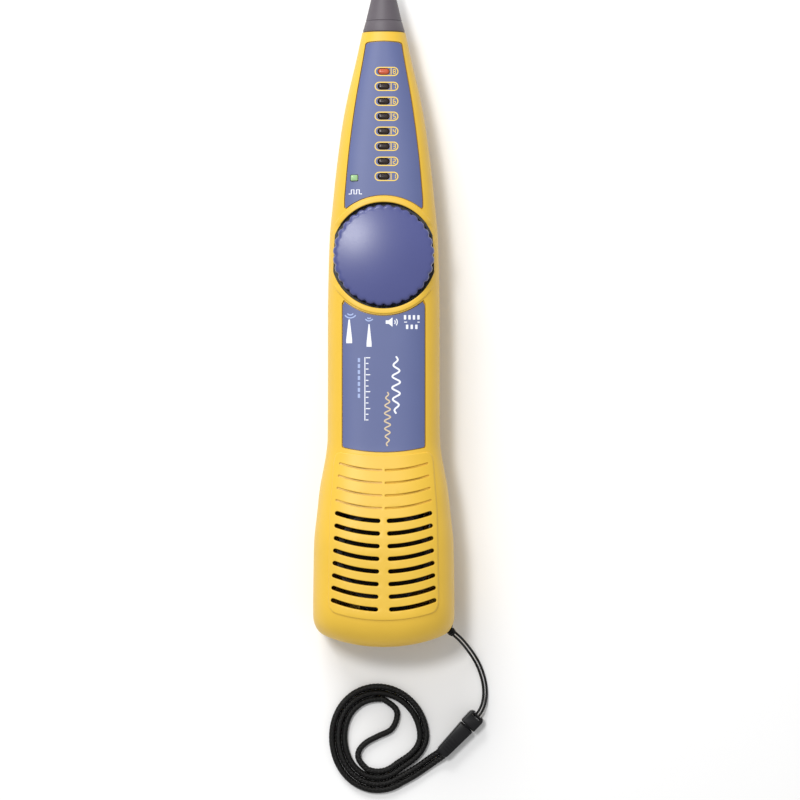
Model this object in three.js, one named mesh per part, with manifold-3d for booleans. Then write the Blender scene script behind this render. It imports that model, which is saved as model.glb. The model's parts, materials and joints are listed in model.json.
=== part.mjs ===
// Tone probe with a wrist lanyard. It lies on its back on z = 0, with +Y towards its tip and
// +Z out of its face. Millimetres. The origin is under the middle of the probe.
import * as THREE from "three";
import { mergeVertices } from "three/addons/utils/BufferGeometryUtils.js";
import Module from "manifold-3d";

// Driving dimensions
const LENGTH = 230;
const BUTT = -LENGTH / 2;
const TIP = LENGTH / 2;
const CASE_END = TIP - 22; // where the yellow case stops and the dark tip starts
const SPLIT_Z = 13; // parting plane between the two case halves
const WALL = 2.2;
const GAP = 0.3; // clearance between pieces that touch
const DIAL_Y = 17;
const DIAL_R = 17.1;
const WELL_R = 17.9;
const WELL_FLOOR = 23.5;
const RIM_R = 19.8;
const BOARD_Z = 16.4;
const BOARD_THICK = 1.6;
const BOARD_TOP = BOARD_Z + BOARD_THICK;
const ROTOR_R = 12;
const MODES = 5;
const MODE_STEP = 18; // degrees between two neighbouring positions of the dial
const LIGHTS = 8;
const LIGHT_Y = 79.3;
const LIGHT_PITCH = 5.1;
const SYNC_LIGHT = [-9.9, 43.1];
const SPEAKER_Y = -84;
const SPEAKER_R = 16;
const ROW_Y = -55.3;
const ROW_PITCH = 4.24;
const ROW_ARC = 49; // radius of the rows' curve in plan
const GROOVE_ROWS = 4;
const SLOT_ROWS = 8;
const BATTERY = { halfWidth: 13.25, back: 3.3, front: 20.8, from: -95, to: -46.5 };
const DOOR_HALF_WIDTH = 14.3;
const DOOR_FRONT_END = -44;
const DOOR_TRAVEL = 12;
const JACK = { halfWidth: 8, back: 7.2, front: 20.2, from: BUTT + 1.2, to: -98.5 };
const PIN = [21.3, -108.5];
const NOTCH = [22.0, -109.3];
const NOTCH_R = 3.3;
const STRING_R = 0.425;
const CORD_R = 1.05;
const CLASP_START = [32.4, -139.5];
const CLASP_END = [19.5, -153.1];
const CLASP_HEIGHT = 4.6;

const wasm = await Module();
wasm.setup();

// ---- Solids ----

function solid(geometry) {
  const bare = geometry.clone();
  bare.deleteAttribute("normal");
  bare.deleteAttribute("uv");
  const merged = mergeVertices(bare, 1e-4);
  return new wasm.Manifold(
    new wasm.Mesh({
      numProp: 3,
      vertProperties: new Float32Array(merged.attributes.position.array),
      triVerts: new Uint32Array(merged.index.array),
    }),
  );
}

function geometryOf(made) {
  const mesh = made.getMesh();
  const geometry = new THREE.BufferGeometry();
  geometry.setAttribute("position", new THREE.BufferAttribute(mesh.vertProperties, 3));
  geometry.setIndex(new THREE.BufferAttribute(mesh.triVerts, 1));
  geometry.computeVertexNormals();
  return geometry;
}

function block([x0, x1], [y0, y1], [z0, z1]) {
  const box = new THREE.BoxGeometry(x1 - x0, y1 - y0, z1 - z0);
  return solid(box.translate((x0 + x1) / 2, (y0 + y1) / 2, (z0 + z1) / 2));
}

function prism(shape, z0, z1, curveSegments = 12) {
  const options = { depth: z1 - z0, bevelEnabled: false, curveSegments };
  return solid(new THREE.ExtrudeGeometry(shape, options).translate(0, 0, z0));
}

// A solid of revolution about a line along Z through (x, y), from [radius, z] points that run
// up its outside.
function turned(profile, x = 0, y = 0, sides = 24) {
  const points = profile.map(([radius, z]) => new THREE.Vector2(radius, z));
  const lathe = new THREE.LatheGeometry(points, sides).rotateX(Math.PI / 2);
  return solid(lathe.translate(x, y, 0));
}

function rod(x, y, radius, z0, z1, sides = 16) {
  return turned([[0, z0], [radius, z0], [radius, z1], [0, z1]], x, y, sides);
}

function washer(x, y, inner, outer, z0, z1, sides = 32) {
  return turned([[inner, z0], [outer, z0], [outer, z1], [inner, z1], [inner, z0]], x, y, sides);
}

// A solid of revolution about a line along Y at (x, z), from [radius, y] points that run along
// its outside.
function turnedAlong(profile, x, z, sides = 24) {
  const points = profile.map(([radius, y]) => new THREE.Vector2(radius, y));
  return solid(new THREE.LatheGeometry(points, sides).translate(x, 0, z));
}

function tube(points, radius) {
  const path = new THREE.CatmullRomCurve3(points.map((p) => new THREE.Vector3(...p)));
  const steps = Math.max(3, Math.round(path.getLength() / (6 * radius)));
  const section = new THREE.Shape().absarc(0, 0, radius, 0, 2 * Math.PI);
  const options = { extrudePath: path, steps, bevelEnabled: false, curveSegments: 4 };
  return solid(new THREE.ExtrudeGeometry(section, options));
}

function outline(points) {
  return new THREE.Shape(points.map(([x, y]) => new THREE.Vector2(x, y)));
}

// ---- The case's outer form ----

// A smooth curve through [y, value] points that never overshoots them.
function curveThrough(points) {
  const last = points.length - 1;
  const rise = (i) => (points[i + 1][1] - points[i][1]) / (points[i + 1][0] - points[i][0]);
  const slope = points.map((_, i) => {
    if (i === 0) return rise(0);
    if (i === last) return rise(last - 1);
    const product = rise(i - 1) * rise(i);
    return product <= 0 ? 0 : (2 * product) / (rise(i - 1) + rise(i));
  });
  return (y) => {
    if (y <= points[0][0]) return points[0][1];
    if (y >= points[last][0]) return points[last][1];
    const i = points.findIndex(([at]) => at > y) - 1;
    const span = points[i + 1][0] - points[i][0];
    const t = (y - points[i][0]) / span;
    const bend = (2 * t - 3) * t * t;
    return (
      points[i][1] * (1 + bend) -
      points[i + 1][1] * bend +
      span * t * (1 - t) * (slope[i] * (1 - t) - slope[i + 1] * t)
    );
  };
}

const halfWidthAt = curveThrough([
  [-104, 24], [-84, 23.7], [-71, 22.6], [-62, 21.7], [-54.7, 20.4], [-50.7, 19.7],
  [-45, 19.1], [-25, 19], [-2, 19], [5, 18.9], [22.7, 18.4], [35, 17.3], [43, 16.5],
  [55.3, 15], [64, 13.7], [71.7, 12.2], [83.9, 9.35], [93, 7.4],
]);
const frontAt = curveThrough([
  [-104, 33], [-84, 33], [-62, 31], [-47, 29], [5, 28], [35, 27], [64, 24.5], [93, 20],
]);
const backAt = curveThrough([[25, -1.2], [45, 0.1], [64, 2.2], [93, 6]]);
// Exponents of the section's superellipse: higher is squarer.
const frontSquareness = curveThrough([[50, 3.6], [72, 3.0], [93, 2.3]]);
const backSquareness = curveThrough([[20, 5], [60, 3.4], [93, 2.3]]);

const clamp = (t) => Math.min(1, Math.max(0, t));
const quarterRound = (t) => 1 - Math.sqrt(1 - clamp(t) ** 2); // 0 at t = 0, 1 at t = 1
const SIDE_ROUND = { length: 5, depth: 3.5 };
const FACE_ROUND = { length: 11, depth: 8 };
const BACK_ROUND = { length: 4, depth: 4.2 };
const BUTT_ARC = 56; // radius of the butt end's curve in plan
const BUTT_MIDDLE_Z = 14;
const RING_POINTS = 20;
const STATIONS = [-115, -114.3, -112.5, -110, -104, -84, -64, -55, -49, -25, 17, 43, 65, 80];

function sectionAt(y) {
  return {
    halfWidth: halfWidthAt(y) - SIDE_ROUND.depth * roundIn(y, SIDE_ROUND),
    front: frontAt(y) - FACE_ROUND.depth * roundIn(y, FACE_ROUND),
    back: backAt(y) + BACK_ROUND.depth * roundIn(y, BACK_ROUND),
  };
}

function roundIn(y, round) {
  return quarterRound((BUTT + round.length - y) / round.length);
}

// One ring of the case's form, moved in by inset from the outer surface. shrink draws the ring
// in towards its middle, to close the butt end.
function caseRing(y, inset, shrink = 1) {
  const section = sectionAt(y);
  const standOff = inset * clamp((BUTT + FACE_ROUND.length - y) / FACE_ROUND.length);
  const bow = THREE.MathUtils.smoothstep(-y, 50, 108) / (2 * BUTT_ARC);
  const ring = [];
  for (let i = 0; i < RING_POINTS; i++) {
    const angle = (2 * Math.PI * i) / RING_POINTS;
    const front = Math.sin(angle) >= 0;
    const power = 2 / (front ? frontSquareness(y) : backSquareness(y));
    const reach = front ? section.front - SPLIT_Z - inset : SPLIT_Z - section.back - inset;
    const across = Math.sign(Math.cos(angle)) * Math.abs(Math.cos(angle)) ** power;
    const up = Math.sign(Math.sin(angle)) * Math.abs(Math.sin(angle)) ** power;
    const x = (section.halfWidth - inset) * across * shrink;
    const z = Math.max(SPLIT_Z + reach * up, inset);
    ring.push([
      x,
      y + standOff + bow * x * x,
      BUTT_MIDDLE_Z + (z - BUTT_MIDDLE_Z) * shrink,
    ]);
  }
  return ring;
}

// A closed form through rings of equal count, each end fanned to its middle.
function loft(rings) {
  const count = rings[0].length;
  const vertices = rings.flat();
  const faces = [];
  rings.slice(1).forEach((_, r) => {
    for (let i = 0; i < count; i++) {
      const here = r * count + i;
      const next = r * count + ((i + 1) % count);
      faces.push(here, here + count, next + count, here, next + count, next);
    }
  });
  [rings[0], rings[rings.length - 1]].forEach((ring, end) => {
    const middle = ring.reduce((sum, p) => sum.map((v, k) => v + p[k] / count), [0, 0, 0]);
    const centre = vertices.push(middle) - 1;
    const first = end * (rings.length - 1) * count;
    for (let i = 0; i < count; i++) {
      const pair = [first + i, first + ((i + 1) % count)];
      faces.push(centre, ...(end ? pair.reverse() : pair));
    }
  });
  const geometry = new THREE.BufferGeometry();
  geometry.setAttribute("position", new THREE.Float32BufferAttribute(vertices.flat(), 3));
  geometry.setIndex(faces);
  return solid(geometry);
}

function caseForm(inset, end = CASE_END) {
  const stations = STATIONS.filter((y) => y < end).concat(end);
  const cap = [0.33, 0.66].map((shrink) => caseRing(BUTT, inset, shrink));
  return loft([...cap, ...stations.map((y) => caseRing(y, inset))]);
}

const outerForm = caseForm(0);
const shell = outerForm.subtract(caseForm(WALL, CASE_END - 2.6));
const ABOVE = [18, 60];
const WIDE = [-60, 60];
const LONG = [-140, 140];

// ---- Face outlines ----

// Plan outline of the label above the dial, drawn in by trim on every side.
function upperLabelOutline(trim = 0) {
  const sides = [[36, 13.35], [50, 12.1], [67, 9.95], [87.3, 6.5], [90, 6.1]];
  const right = sides.map(([y, x]) => [x - trim, Math.min(y, 90 - trim)]);
  const radius = RIM_R + 0.3 + trim;
  const low = Math.sqrt(radius ** 2 - (13.35 - trim) ** 2);
  const start = Math.atan2(low, -(13.35 - trim));
  const shape = new THREE.Shape();
  shape.absarc(0, DIAL_Y, radius, start, Math.PI - start, true);
  right.forEach(([x, y]) => shape.lineTo(x, y));
  right.reverse().forEach(([x, y]) => shape.lineTo(-x, y));
  return shape;
}

// Plan outline of the label below the dial, which ends in a shallow curve over the speaker.
function lowerLabelOutline(trim = 0) {
  const x = 14.1 - trim;
  const radius = RIM_R + 0.3 + trim;
  const start = Math.atan2(-Math.sqrt(radius ** 2 - x ** 2), x);
  const shape = new THREE.Shape();
  shape.absarc(0, DIAL_Y, radius, start, -Math.PI - start, true);
  shape.lineTo(-x, -47.7 + trim);
  shape.quadraticCurveTo(0, -51.1 + trim, x, -47.7 + trim);
  return shape;
}

// Plan outline of the raised pad round the speaker's slots.
function grillePadOutline() {
  const shape = new THREE.Shape();
  shape.moveTo(-16.6, -48.9);
  shape.quadraticCurveTo(0, -52.3, 16.6, -48.9);
  shape.lineTo(18.2, -70);
  shape.lineTo(18.6, -103);
  shape.quadraticCurveTo(0, -109, -18.6, -103);
  shape.lineTo(-18.2, -70);
  return shape;
}

// A bar that follows the rows' curve, from x0 to x1 on one side of the middle.
function rowBar(row, side, x0, x1, width) {
  const middle = ROW_Y - row * ROW_PITCH;
  const steps = 2;
  const edge = (offset) =>
    Array.from({ length: steps + 1 }, (_, i) => {
      const x = x0 + ((x1 - x0) * i) / steps;
      const y = middle + ROW_ARC - Math.sqrt(ROW_ARC ** 2 - x ** 2) + offset;
      return [side * x, y];
    });
  const points = [...edge(-width / 2), ...edge(width / 2).reverse()];
  return outline(side > 0 ? points : points.reverse());
}

// ---- Front case ----

const SCREWS = [
  { at: [-12.2, 38], seat: 4.2 },
  { at: [12.2, 38], seat: 4.2 },
  { at: [-13.5, -34], seat: 4.2 },
  { at: [13.5, -34], seat: 4.2 },
  { at: [-19.2, -102], seat: 6.5 },
  { at: [19.2, -102], seat: 6.5 },
];
const lightCentre = (i) => [0, LIGHT_Y - LIGHT_PITCH * i];

function windowBlock([x, y], width, length, z = ABOVE) {
  return block([x - width / 2, x + width / 2], [y - length / 2, y + length / 2], z);
}

function lightWindows() {
  const windows = [windowBlock(SYNC_LIGHT, 3, 2.6)];
  for (let i = 0; i < LIGHTS; i++) windows.push(windowBlock(lightCentre(i), 4.4, 2.9));
  return windows;
}

function dialCup() {
  const cup = rod(0, DIAL_Y, RIM_R, WELL_FLOOR - 2, 40, 40).intersect(outerForm);
  const rim = washer(0, DIAL_Y, WELL_R - 0.5, RIM_R, WELL_FLOOR, 40, 40);
  return cup.add(rim.intersect(caseForm(-0.5)));
}

function grille() {
  const depth = [-0.15, 0.45];
  const grooves = [];
  const slots = [];
  for (const side of [-1, 1]) {
    for (let row = 0; row < GROOVE_ROWS; row++) {
      const bar = rowBar(row, side, 0.4, 14.9 + 0.4 * row, 0.7);
      grooves.push(prism(bar, ...ABOVE).subtract(caseForm(depth[0])));
    }
    for (let row = 0; row < SLOT_ROWS; row++) {
      const reach = 16.3 + 0.2 * row;
      slots.push(prism(rowBar(GROOVE_ROWS + row, side, 1.1 + 0.11 * row, reach, 1.3), ...ABOVE));
    }
  }
  return { grooves, slots, raise: depth[1] };
}

function frontBosses() {
  const bosses = SCREWS.map(({ at }) => rod(...at, 2.8, SPLIT_Z + GAP / 2, 40, 12));
  const posts = [[-10, -20], [10, -20], [-6.5, 55], [6.5, 55], [-9.4, 30.2], [9.4, 30.2]].map(
    ([x, y]) => rod(x, y, 1.2, BOARD_TOP + GAP, 40, 8),
  );
  return [...bosses, ...posts, cornerBoss()];
}

// Solid stock round the lanyard's notch, in both halves of the case.
function cornerBoss() {
  return rod(20.2, -107.4, 5.2, 4, 24, 16);
}

function lanyardCuts() {
  return [
    rod(...NOTCH, NOTCH_R, 9.5, 16.5, 20),
    rod(...PIN, 0.95 + GAP, 6.2, 19.8, 12),
  ];
}

function jackHole() {
  const { halfWidth, back, front, to } = JACK;
  const wide = halfWidth + GAP;
  return block([-wide, wide], [BUTT - 5, to], [back - GAP, front + GAP]);
}

function spigotHole() {
  return turnedAlong([[0, 80], [4.5, 80], [4.5, 99], [0, 99]], 0, SPLIT_Z);
}

function buildFrontCase() {
  const upper = block(WIDE, LONG, [SPLIT_Z + GAP / 2, 60]);
  const { grooves, slots, raise } = grille();
  const pad = prism(grillePadOutline(), ...ABOVE, 8).intersect(caseForm(-raise));
  const seat = washer(0, SPEAKER_Y, SPEAKER_R - 2, SPEAKER_R, 29.1, 40, 24);
  const recess = wasm.Manifold.union(
    [upperLabelOutline(), lowerLabelOutline()].map((shape) => prism(shape, ...ABOVE)),
  ).subtract(caseForm(0.75));
  const inner = [...frontBosses(), seat].map((made) => made.intersect(outerForm));
  const pilots = SCREWS.map(({ at }) => rod(...at, 1.4, 5, 21, 8));
  const skin = shell
    .add(pad.subtract(caseForm(WALL)))
    .subtract(wasm.Manifold.union(slots))
    .add(wasm.Manifold.union([...inner, dialCup()]));
  return skin
    .intersect(upper)
    .subtract(rod(0, DIAL_Y, WELL_R, WELL_FLOOR, 60, 40))
    .subtract(rod(0, DIAL_Y, 5, 10, 60, 24))
    .subtract(
      wasm.Manifold.union([
        recess, spigotHole(), jackHole(), ...grooves, ...pilots, ...lightWindows(),
        ...lanyardCuts(),
      ]),
    );
}

// ---- Rear case and battery door ----

const TAB_STARTS = [-100, -80, -60];
const TAB_LENGTH = 6;
const TAB_REACH = 1.2;
const TAB_Z = [1.2, 2.2];
const LIP_TOP = 5;

function doorTabs() {
  const wide = DOOR_HALF_WIDTH + TAB_REACH;
  return TAB_STARTS.map((y) => block([-wide, wide], [y, y + TAB_LENGTH], TAB_Z));
}

// Tunnels that the door's tabs slide along, and the open bays where they drop out.
function tabSlots() {
  const wide = DOOR_HALF_WIDTH + TAB_REACH + GAP;
  return TAB_STARTS.flatMap((y) => {
    const from = y - DOOR_TRAVEL - GAP;
    return [
      block([-wide, wide], [from, y + TAB_LENGTH + GAP], [TAB_Z[0] - GAP, TAB_Z[1] + GAP]),
      block([-wide, wide], [from, from + TAB_LENGTH + 2 * GAP], [-2, TAB_Z[1]]),
    ];
  });
}

function doorOpening() {
  const wide = DOOR_HALF_WIDTH + GAP;
  const panel = block([-wide, wide], [BUTT - 5, DOOR_FRONT_END + GAP], [-5, TAB_Z[1] + GAP]);
  return panel.add(block([-wide, wide], [BUTT - 5, BUTT + 5], [-5, LIP_TOP + GAP]));
}

function batteryRails() {
  return [-1, 1].map((side) => {
    const rail = block([13.6, 16.8], [-109, -45.5], [TAB_Z[1] + GAP, 3.9]);
    const fence = block([13.6, 14.6], [-94, -48], [3.8, 11]);
    const pair = rail.add(fence);
    return side > 0 ? pair : pair.mirror([1, 0, 0]);
  });
}

function buildRearCase() {
  const lower = block(WIDE, LONG, [-5, SPLIT_Z - GAP / 2]);
  const bosses = SCREWS.map(({ at }) => rod(...at, 4, 0, 30, 12));
  const inner = wasm.Manifold.union([...bosses, cornerBoss()]).intersect(outerForm);
  const screwHoles = SCREWS.flatMap(({ at, seat }) => [
    rod(...at, 1.5, -5, 30, 8),
    rod(...at, 3, -5, seat, 12),
  ]);
  return shell
    .add(inner)
    .subtract(wasm.Manifold.union([doorOpening(), ...tabSlots()]))
    .add(wasm.Manifold.union(batteryRails()).intersect(outerForm))
    .intersect(lower)
    .subtract(
      wasm.Manifold.union([spigotHole(), jackHole(), ...screwHoles, ...lanyardCuts()]),
    );
}

function buildBatteryDoor() {
  const wide = DOOR_HALF_WIDTH;
  const panel = block([-wide, wide], [BUTT - 5, DOOR_FRONT_END], [-5, TAB_Z[1]]);
  const lip = block([-wide, wide], [BUTT - 5, BUTT + 5], [-5, LIP_TOP]);
  const grips = [0, 1, 2, 3, 4].map((i) =>
    block([-7, 7], [-106 + 2.4 * i, -104.8 + 2.4 * i], [-1, 0.6]),
  );
  return shell
    .intersect(panel.add(lip))
    .add(wasm.Manifold.union(doorTabs()))
    .subtract(wasm.Manifold.union(grips));
}

// ---- Tip and its pick-up rod ----

function buildTip() {
  const start = CASE_END + 0.15;
  const profile = [
    [0, 87.8], [5, 87.8], [5, 90.1], [4.2, 90.1], [4.2, start], [7.05, start],
    [6.85, 94.6], [6.1, 97.5], [4.4, 104.3], [3.1, 110], [2.3, 113.2], [1.5, 114.6], [0, TIP],
  ];
  const bore = turnedAlong([[0, 85], [2.7, 85], [2.7, 105], [0, 105]], 0, SPLIT_Z, 16);
  return turnedAlong(profile, 0, SPLIT_Z, 24).subtract(bore);
}

function buildAntenna() {
  return turnedAlong([[0, 70], [2.2, 70], [2.2, 104], [0, 104]], 0, SPLIT_Z, 12);
}

// ---- Labels and lights ----

function buildLabel(shape) {
  const sheet = caseForm(0.1).subtract(caseForm(0.45));
  return prism(shape, ...ABOVE)
    .intersect(sheet)
    .subtract(wasm.Manifold.union(lightWindows()));
}

function buildLight([x, y], width, length) {
  return windowBlock([x, y], width, length, [BOARD_TOP + GAP, frontAt(y) - 0.5]);
}

// ---- Dial and its switch ----

const SCALLOPS = 32;
const SCALLOP_DEPTH = 0.55;
const DIAL_BASE = WELL_FLOOR + 0.4;
const DIAL_EDGE = 28.6;
const DIAL_CROWN = 30.2;

function buildDial() {
  const count = SCALLOPS * 3;
  const rim = Array.from({ length: count }, (_, i) => {
    const angle = (2 * Math.PI * i) / count;
    const dip = SCALLOP_DEPTH * (0.5 + 0.5 * Math.cos(SCALLOPS * angle)) ** 2;
    return [(DIAL_R - dip) * Math.cos(angle), DIAL_Y + (DIAL_R - dip) * Math.sin(angle)];
  });
  const crown = turned(
    [[0, 26], [16.2, 26], [16.2, DIAL_EDGE], [15.4, 29.1], [11, 29.8], [5.5, 30.1], [0, DIAL_CROWN]],
    0, DIAL_Y, 48,
  );
  const hub = rod(0, DIAL_Y, 4.7, 21.5, 26, 24);
  return prism(outline(rim), DIAL_BASE, DIAL_EDGE)
    .add(crown)
    .subtract(washer(0, DIAL_Y, 6, 15.3, 20, 27, 32))
    .add(hub)
    .subtract(rod(0, DIAL_Y, 1.4, 20, 26, 12));
}

function buildRotor() {
  const disc = washer(0, DIAL_Y, 1.4, ROTOR_R, 19.2, 21.2, 32);
  const notches = Array.from({ length: MODES }, (_, i) => {
    const angle = THREE.MathUtils.degToRad(90 - MODE_STEP * i);
    const reach = ROTOR_R + 0.5;
    return rod(reach * Math.cos(angle), DIAL_Y + reach * Math.sin(angle), 1.1, 18, 23, 10);
  });
  return disc.subtract(wasm.Manifold.union(notches));
}

function buildWiper() {
  const ring = washer(0, DIAL_Y, 3.2, 4.6, 18.45, 18.9, 16);
  const arms = [30, 150, 270].map((degrees) => {
    const angle = THREE.MathUtils.degToRad(degrees);
    const arm = block([4, 10], [-0.6, 0.6], [18.45, 18.9]);
    return arm.rotate([0, 0, degrees]).translate([0, DIAL_Y, 0]).add(
      rod(10 * Math.cos(angle), DIAL_Y + 10 * Math.sin(angle), 1, 18.45, 18.9, 8),
    );
  });
  return ring.add(wasm.Manifold.union(arms));
}

function buildDialScrew() {
  const profile = [[0, 17.6], [2.4, 17.6], [2.4, 18.9], [1.1, 18.9], [1.1, 25], [0, 25]];
  return turned(profile, 0, DIAL_Y, 16);
}

// A leaf spring behind the rotor, with a nose that faces its notches.
function buildDetentSpring() {
  const leaf = outline([
    [-7.9, 30], [-1.6, 30], [0, 29.35], [1.6, 30], [7.9, 30],
    [7.9, 30.4], [1.4, 30.4], [0, 29.8], [-1.4, 30.4], [-7.9, 30.4],
  ]);
  return prism(leaf, 19.4, 21);
}

// ---- Board and what is on it ----

function buildBoard() {
  const half = [[13.2, -38], [13.5, -20], [13.5, 10], [12.4, 40], [9.4, 60], [4.6, 83]];
  const rightSide = half.map(([x, y]) => [x, y]);
  const leftSide = half.map(([x, y]) => [-x, y]).reverse();
  const cuts = SCREWS.slice(0, 4).map(({ at }) => rod(...at, 3.4, 10, 20));
  return prism(outline([...rightSide, ...leftSide]), BOARD_Z, BOARD_TOP)
    .subtract(rod(0, DIAL_Y, 3.2, 10, 20))
    .subtract(wasm.Manifold.union(cuts));
}

function onBoard([x, y], width, length, height) {
  return windowBlock([x, y], width, length, [BOARD_TOP + GAP, BOARD_TOP + GAP + height]);
}

function buildCrystal([x, y]) {
  const can = new THREE.Shape();
  can.absarc(x - 3.1, y, 1.9, Math.PI / 2, (3 * Math.PI) / 2);
  can.absarc(x + 3.1, y, 1.9, -Math.PI / 2, Math.PI / 2);
  return prism(can, BOARD_TOP + GAP, BOARD_TOP + GAP + 3.2, 6);
}

// ---- Speaker ----

const speakerPart = (profile, sides = 24) => turned(profile, 0, SPEAKER_Y, sides);
const SPEAKER_FRAME = [
  [3.2, 23.7], [9.8, 23.7], [15.4, 26.2], [16, 26.2], [16, 27.9], [13.9, 27.9], [13.9, 27.3],
  [9, 24.4], [3.2, 24.4], [3.2, 23.7],
];
const SPEAKER_MAGNET = [[0, 21.1], [9.5, 21.1], [9.5, 23.4], [2.6, 23.4], [2.6, 25], [0, 25]];
const SPEAKER_CONE = [
  [0, 25.3], [8.8, 25.3], [13.4, 27.35], [13.4, 27.75], [8.7, 25.7], [3.5, 25.7], [0, 26.6],
];

// ---- Battery and network socket ----

function buildBattery() {
  const { halfWidth, back, front, from, to } = BATTERY;
  const round = 1.6;
  const corners = [[-halfWidth, back], [halfWidth, back], [halfWidth, front], [-halfWidth, front]];
  const face = outline(
    corners.flatMap(([x, z]) => {
      const inX = x - Math.sign(x) * round;
      const inZ = z === back ? z + round : z - round;
      const pair = [[inX, z], [x, inZ]];
      return x * (z === back ? -1 : 1) > 0 ? pair.reverse() : pair;
    }),
  );
  const bar = new THREE.ExtrudeGeometry(face, { depth: to - from, bevelEnabled: false });
  return solid(bar.rotateX(Math.PI / 2).translate(0, to, 0));
}

function buildBatteryPost(x, radius) {
  const start = BATTERY.to + GAP;
  return turnedAlong([[0, start], [radius, start], [radius, start + 2.6], [0, start + 2.6]], x, 12, 12);
}

function buildJack() {
  const { halfWidth, back, front, from, to } = JACK;
  const cavity = block([-5.9, 5.9], [BUTT - 5, -100.2], [9, 16.8]);
  const keyway = block([-3, 3], [BUTT - 5, -102], [16.5, 18.9]);
  return block([-halfWidth, halfWidth], [from, to], [back, front]).subtract(cavity.add(keyway));
}

// Eight spring wires on one moulded bar, near the socket's floor.
function buildJackContacts() {
  const pitch = 1.02;
  const bar = block([-4.4, 4.4], [-101.6, -100.6], [9.4, 10.6]);
  const wires = Array.from({ length: 8 }, (_, i) => {
    const x = (i - 3.5) * pitch;
    return block([x - 0.25, x + 0.25], [-108, -101.4], [9.9, 10.4]);
  });
  return bar.add(wasm.Manifold.union(wires));
}

// A flat cable that runs on edge beside the battery, from the socket to under the board.
function buildJackRibbon() {
  const middle = [
    [4.5, -96.2], [13.4, -96.2], [15.4, -92.5], [15.5, -70], [15.5, -52], [15.2, -47.5],
    [12.6, -43.5], [12, -40], [9.2, -38.2], [8.6, -36.6],
  ];
  const thick = 0.5;
  const left = middle.map(([x, y], i) => (i < 2 ? [x, y + thick / 2] : [x - thick / 2, y]));
  const right = middle.map(([x, y], i) => (i < 2 ? [x, y - thick / 2] : [x + thick / 2, y]));
  return prism(outline([...right, ...left.reverse()]), 13.2, BOARD_Z - GAP);
}

// ---- Fasteners ----

function buildScrew({ at, seat }) {
  const head = [seat - 2, seat - GAP];
  const profile = [[0, head[0]], [2.6, head[0]], [2.6, head[1]], [1.15, head[1]], [1.15, 20], [0, 20]];
  return turned(profile, ...at, 12);
}

// ---- Lanyard ----

// The string runs twice from the notch to the clasp: the middle line of the pair.
const STRING_ROUTE = [
  [23.3, -110.7, 12], [24.6, -111.9, 11.4], [26.3, -113.6, 9.4], [28.6, -116.5, 5.4],
  [31, -120.1, 1.9], [32.9, -123.8, 0.6], [34.3, -128.3, 0.45], [34.7, -132.7, 0.6],
  [34.1, -136.2, 1.6], [33, -138.6, 2.3],
];
const STRING_SPREAD = 0.58;

function stringStrand(side) {
  const route = STRING_ROUTE.map(([x, y, z], i) => {
    const before = STRING_ROUTE[Math.max(0, i - 1)];
    const after = STRING_ROUTE[Math.min(STRING_ROUTE.length - 1, i + 1)];
    const along = [after[0] - before[0], after[1] - before[1]];
    const offset = (side * STRING_SPREAD) / Math.hypot(...along);
    return [x - along[1] * offset, y + along[0] * offset, z];
  });
  return tube(route, STRING_R);
}

function buildHitch() {
  return washer(...PIN, 1.25, 1.95, 10.6, 13.4, 16);
}

// The clasp is drawn along +X from its string end, then turned to lie where the string ends.
const YOKE_LENGTH = 5.5;
const CLASP_LENGTH = Math.hypot(CLASP_END[0] - CLASP_START[0], CLASP_END[1] - CLASP_START[1]);

function barOutline(from, to, halfWidth, round) {
  const shape = new THREE.Shape();
  shape.absarc(from + round, round - halfWidth, round, Math.PI, 1.5 * Math.PI);
  shape.absarc(to - round, round - halfWidth, round, 1.5 * Math.PI, 2 * Math.PI);
  shape.absarc(to - round, halfWidth - round, round, 0, Math.PI / 2);
  shape.absarc(from + round, halfWidth - round, round, Math.PI / 2, Math.PI);
  return shape;
}

function buildYoke() {
  const notch = block([-1, 1.6], [-1.6, 1.6], [-1, 6]);
  const tongue = block([YOKE_LENGTH - 1, 10], [-1.2, 1.2], [1.3, 3.3]);
  return prism(barOutline(0, YOKE_LENGTH, 2.95, 1), 0, CLASP_HEIGHT, 3).subtract(notch).add(tongue);
}

function buildSleeve() {
  const mouth = block([0, 10.4], [-1.5, 1.5], [1, 3.6]);
  const body = barOutline(YOKE_LENGTH + GAP, CLASP_LENGTH, 2.75, 0.9);
  return prism(body, 0, CLASP_HEIGHT, 3).subtract(mouth);
}

function buildCordLead() {
  const strands = [-1, 1].map((side) => {
    const y = side * (CORD_R - 0.05);
    const start = CLASP_LENGTH + GAP;
    return tube([[start, y, 2.3], [start + 1.2, y, 2.2], [start + 3.9, y, 1.2]], CORD_R);
  });
  return strands[0].add(strands[1]);
}

// The coiled part of the wrist cord: several turns lying side by side, flat on the surface.
function buildCordCoil() {
  const ring = new THREE.Shape().absellipse(-1.8, -147.8, 17.5, 19.1, 0, 2 * Math.PI);
  ring.holes.push(new THREE.Path().absarc(-0.5, -146.9, 12.5, 0, 2 * Math.PI, true));
  return prism(ring, 0, 2 * CORD_R, 20);
}

const BIGHT_ROUTE = [
  [2.6, -135.6, CORD_R], [4.2, -138.8, CORD_R], [3.5, -143.2, CORD_R], [-0.3, -146.3, CORD_R],
  [-4.7, -148.3, CORD_R], [-8.1, -151.4, CORD_R], [-8.9, -154, CORD_R],
];

// ---- Assembly ----

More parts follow.
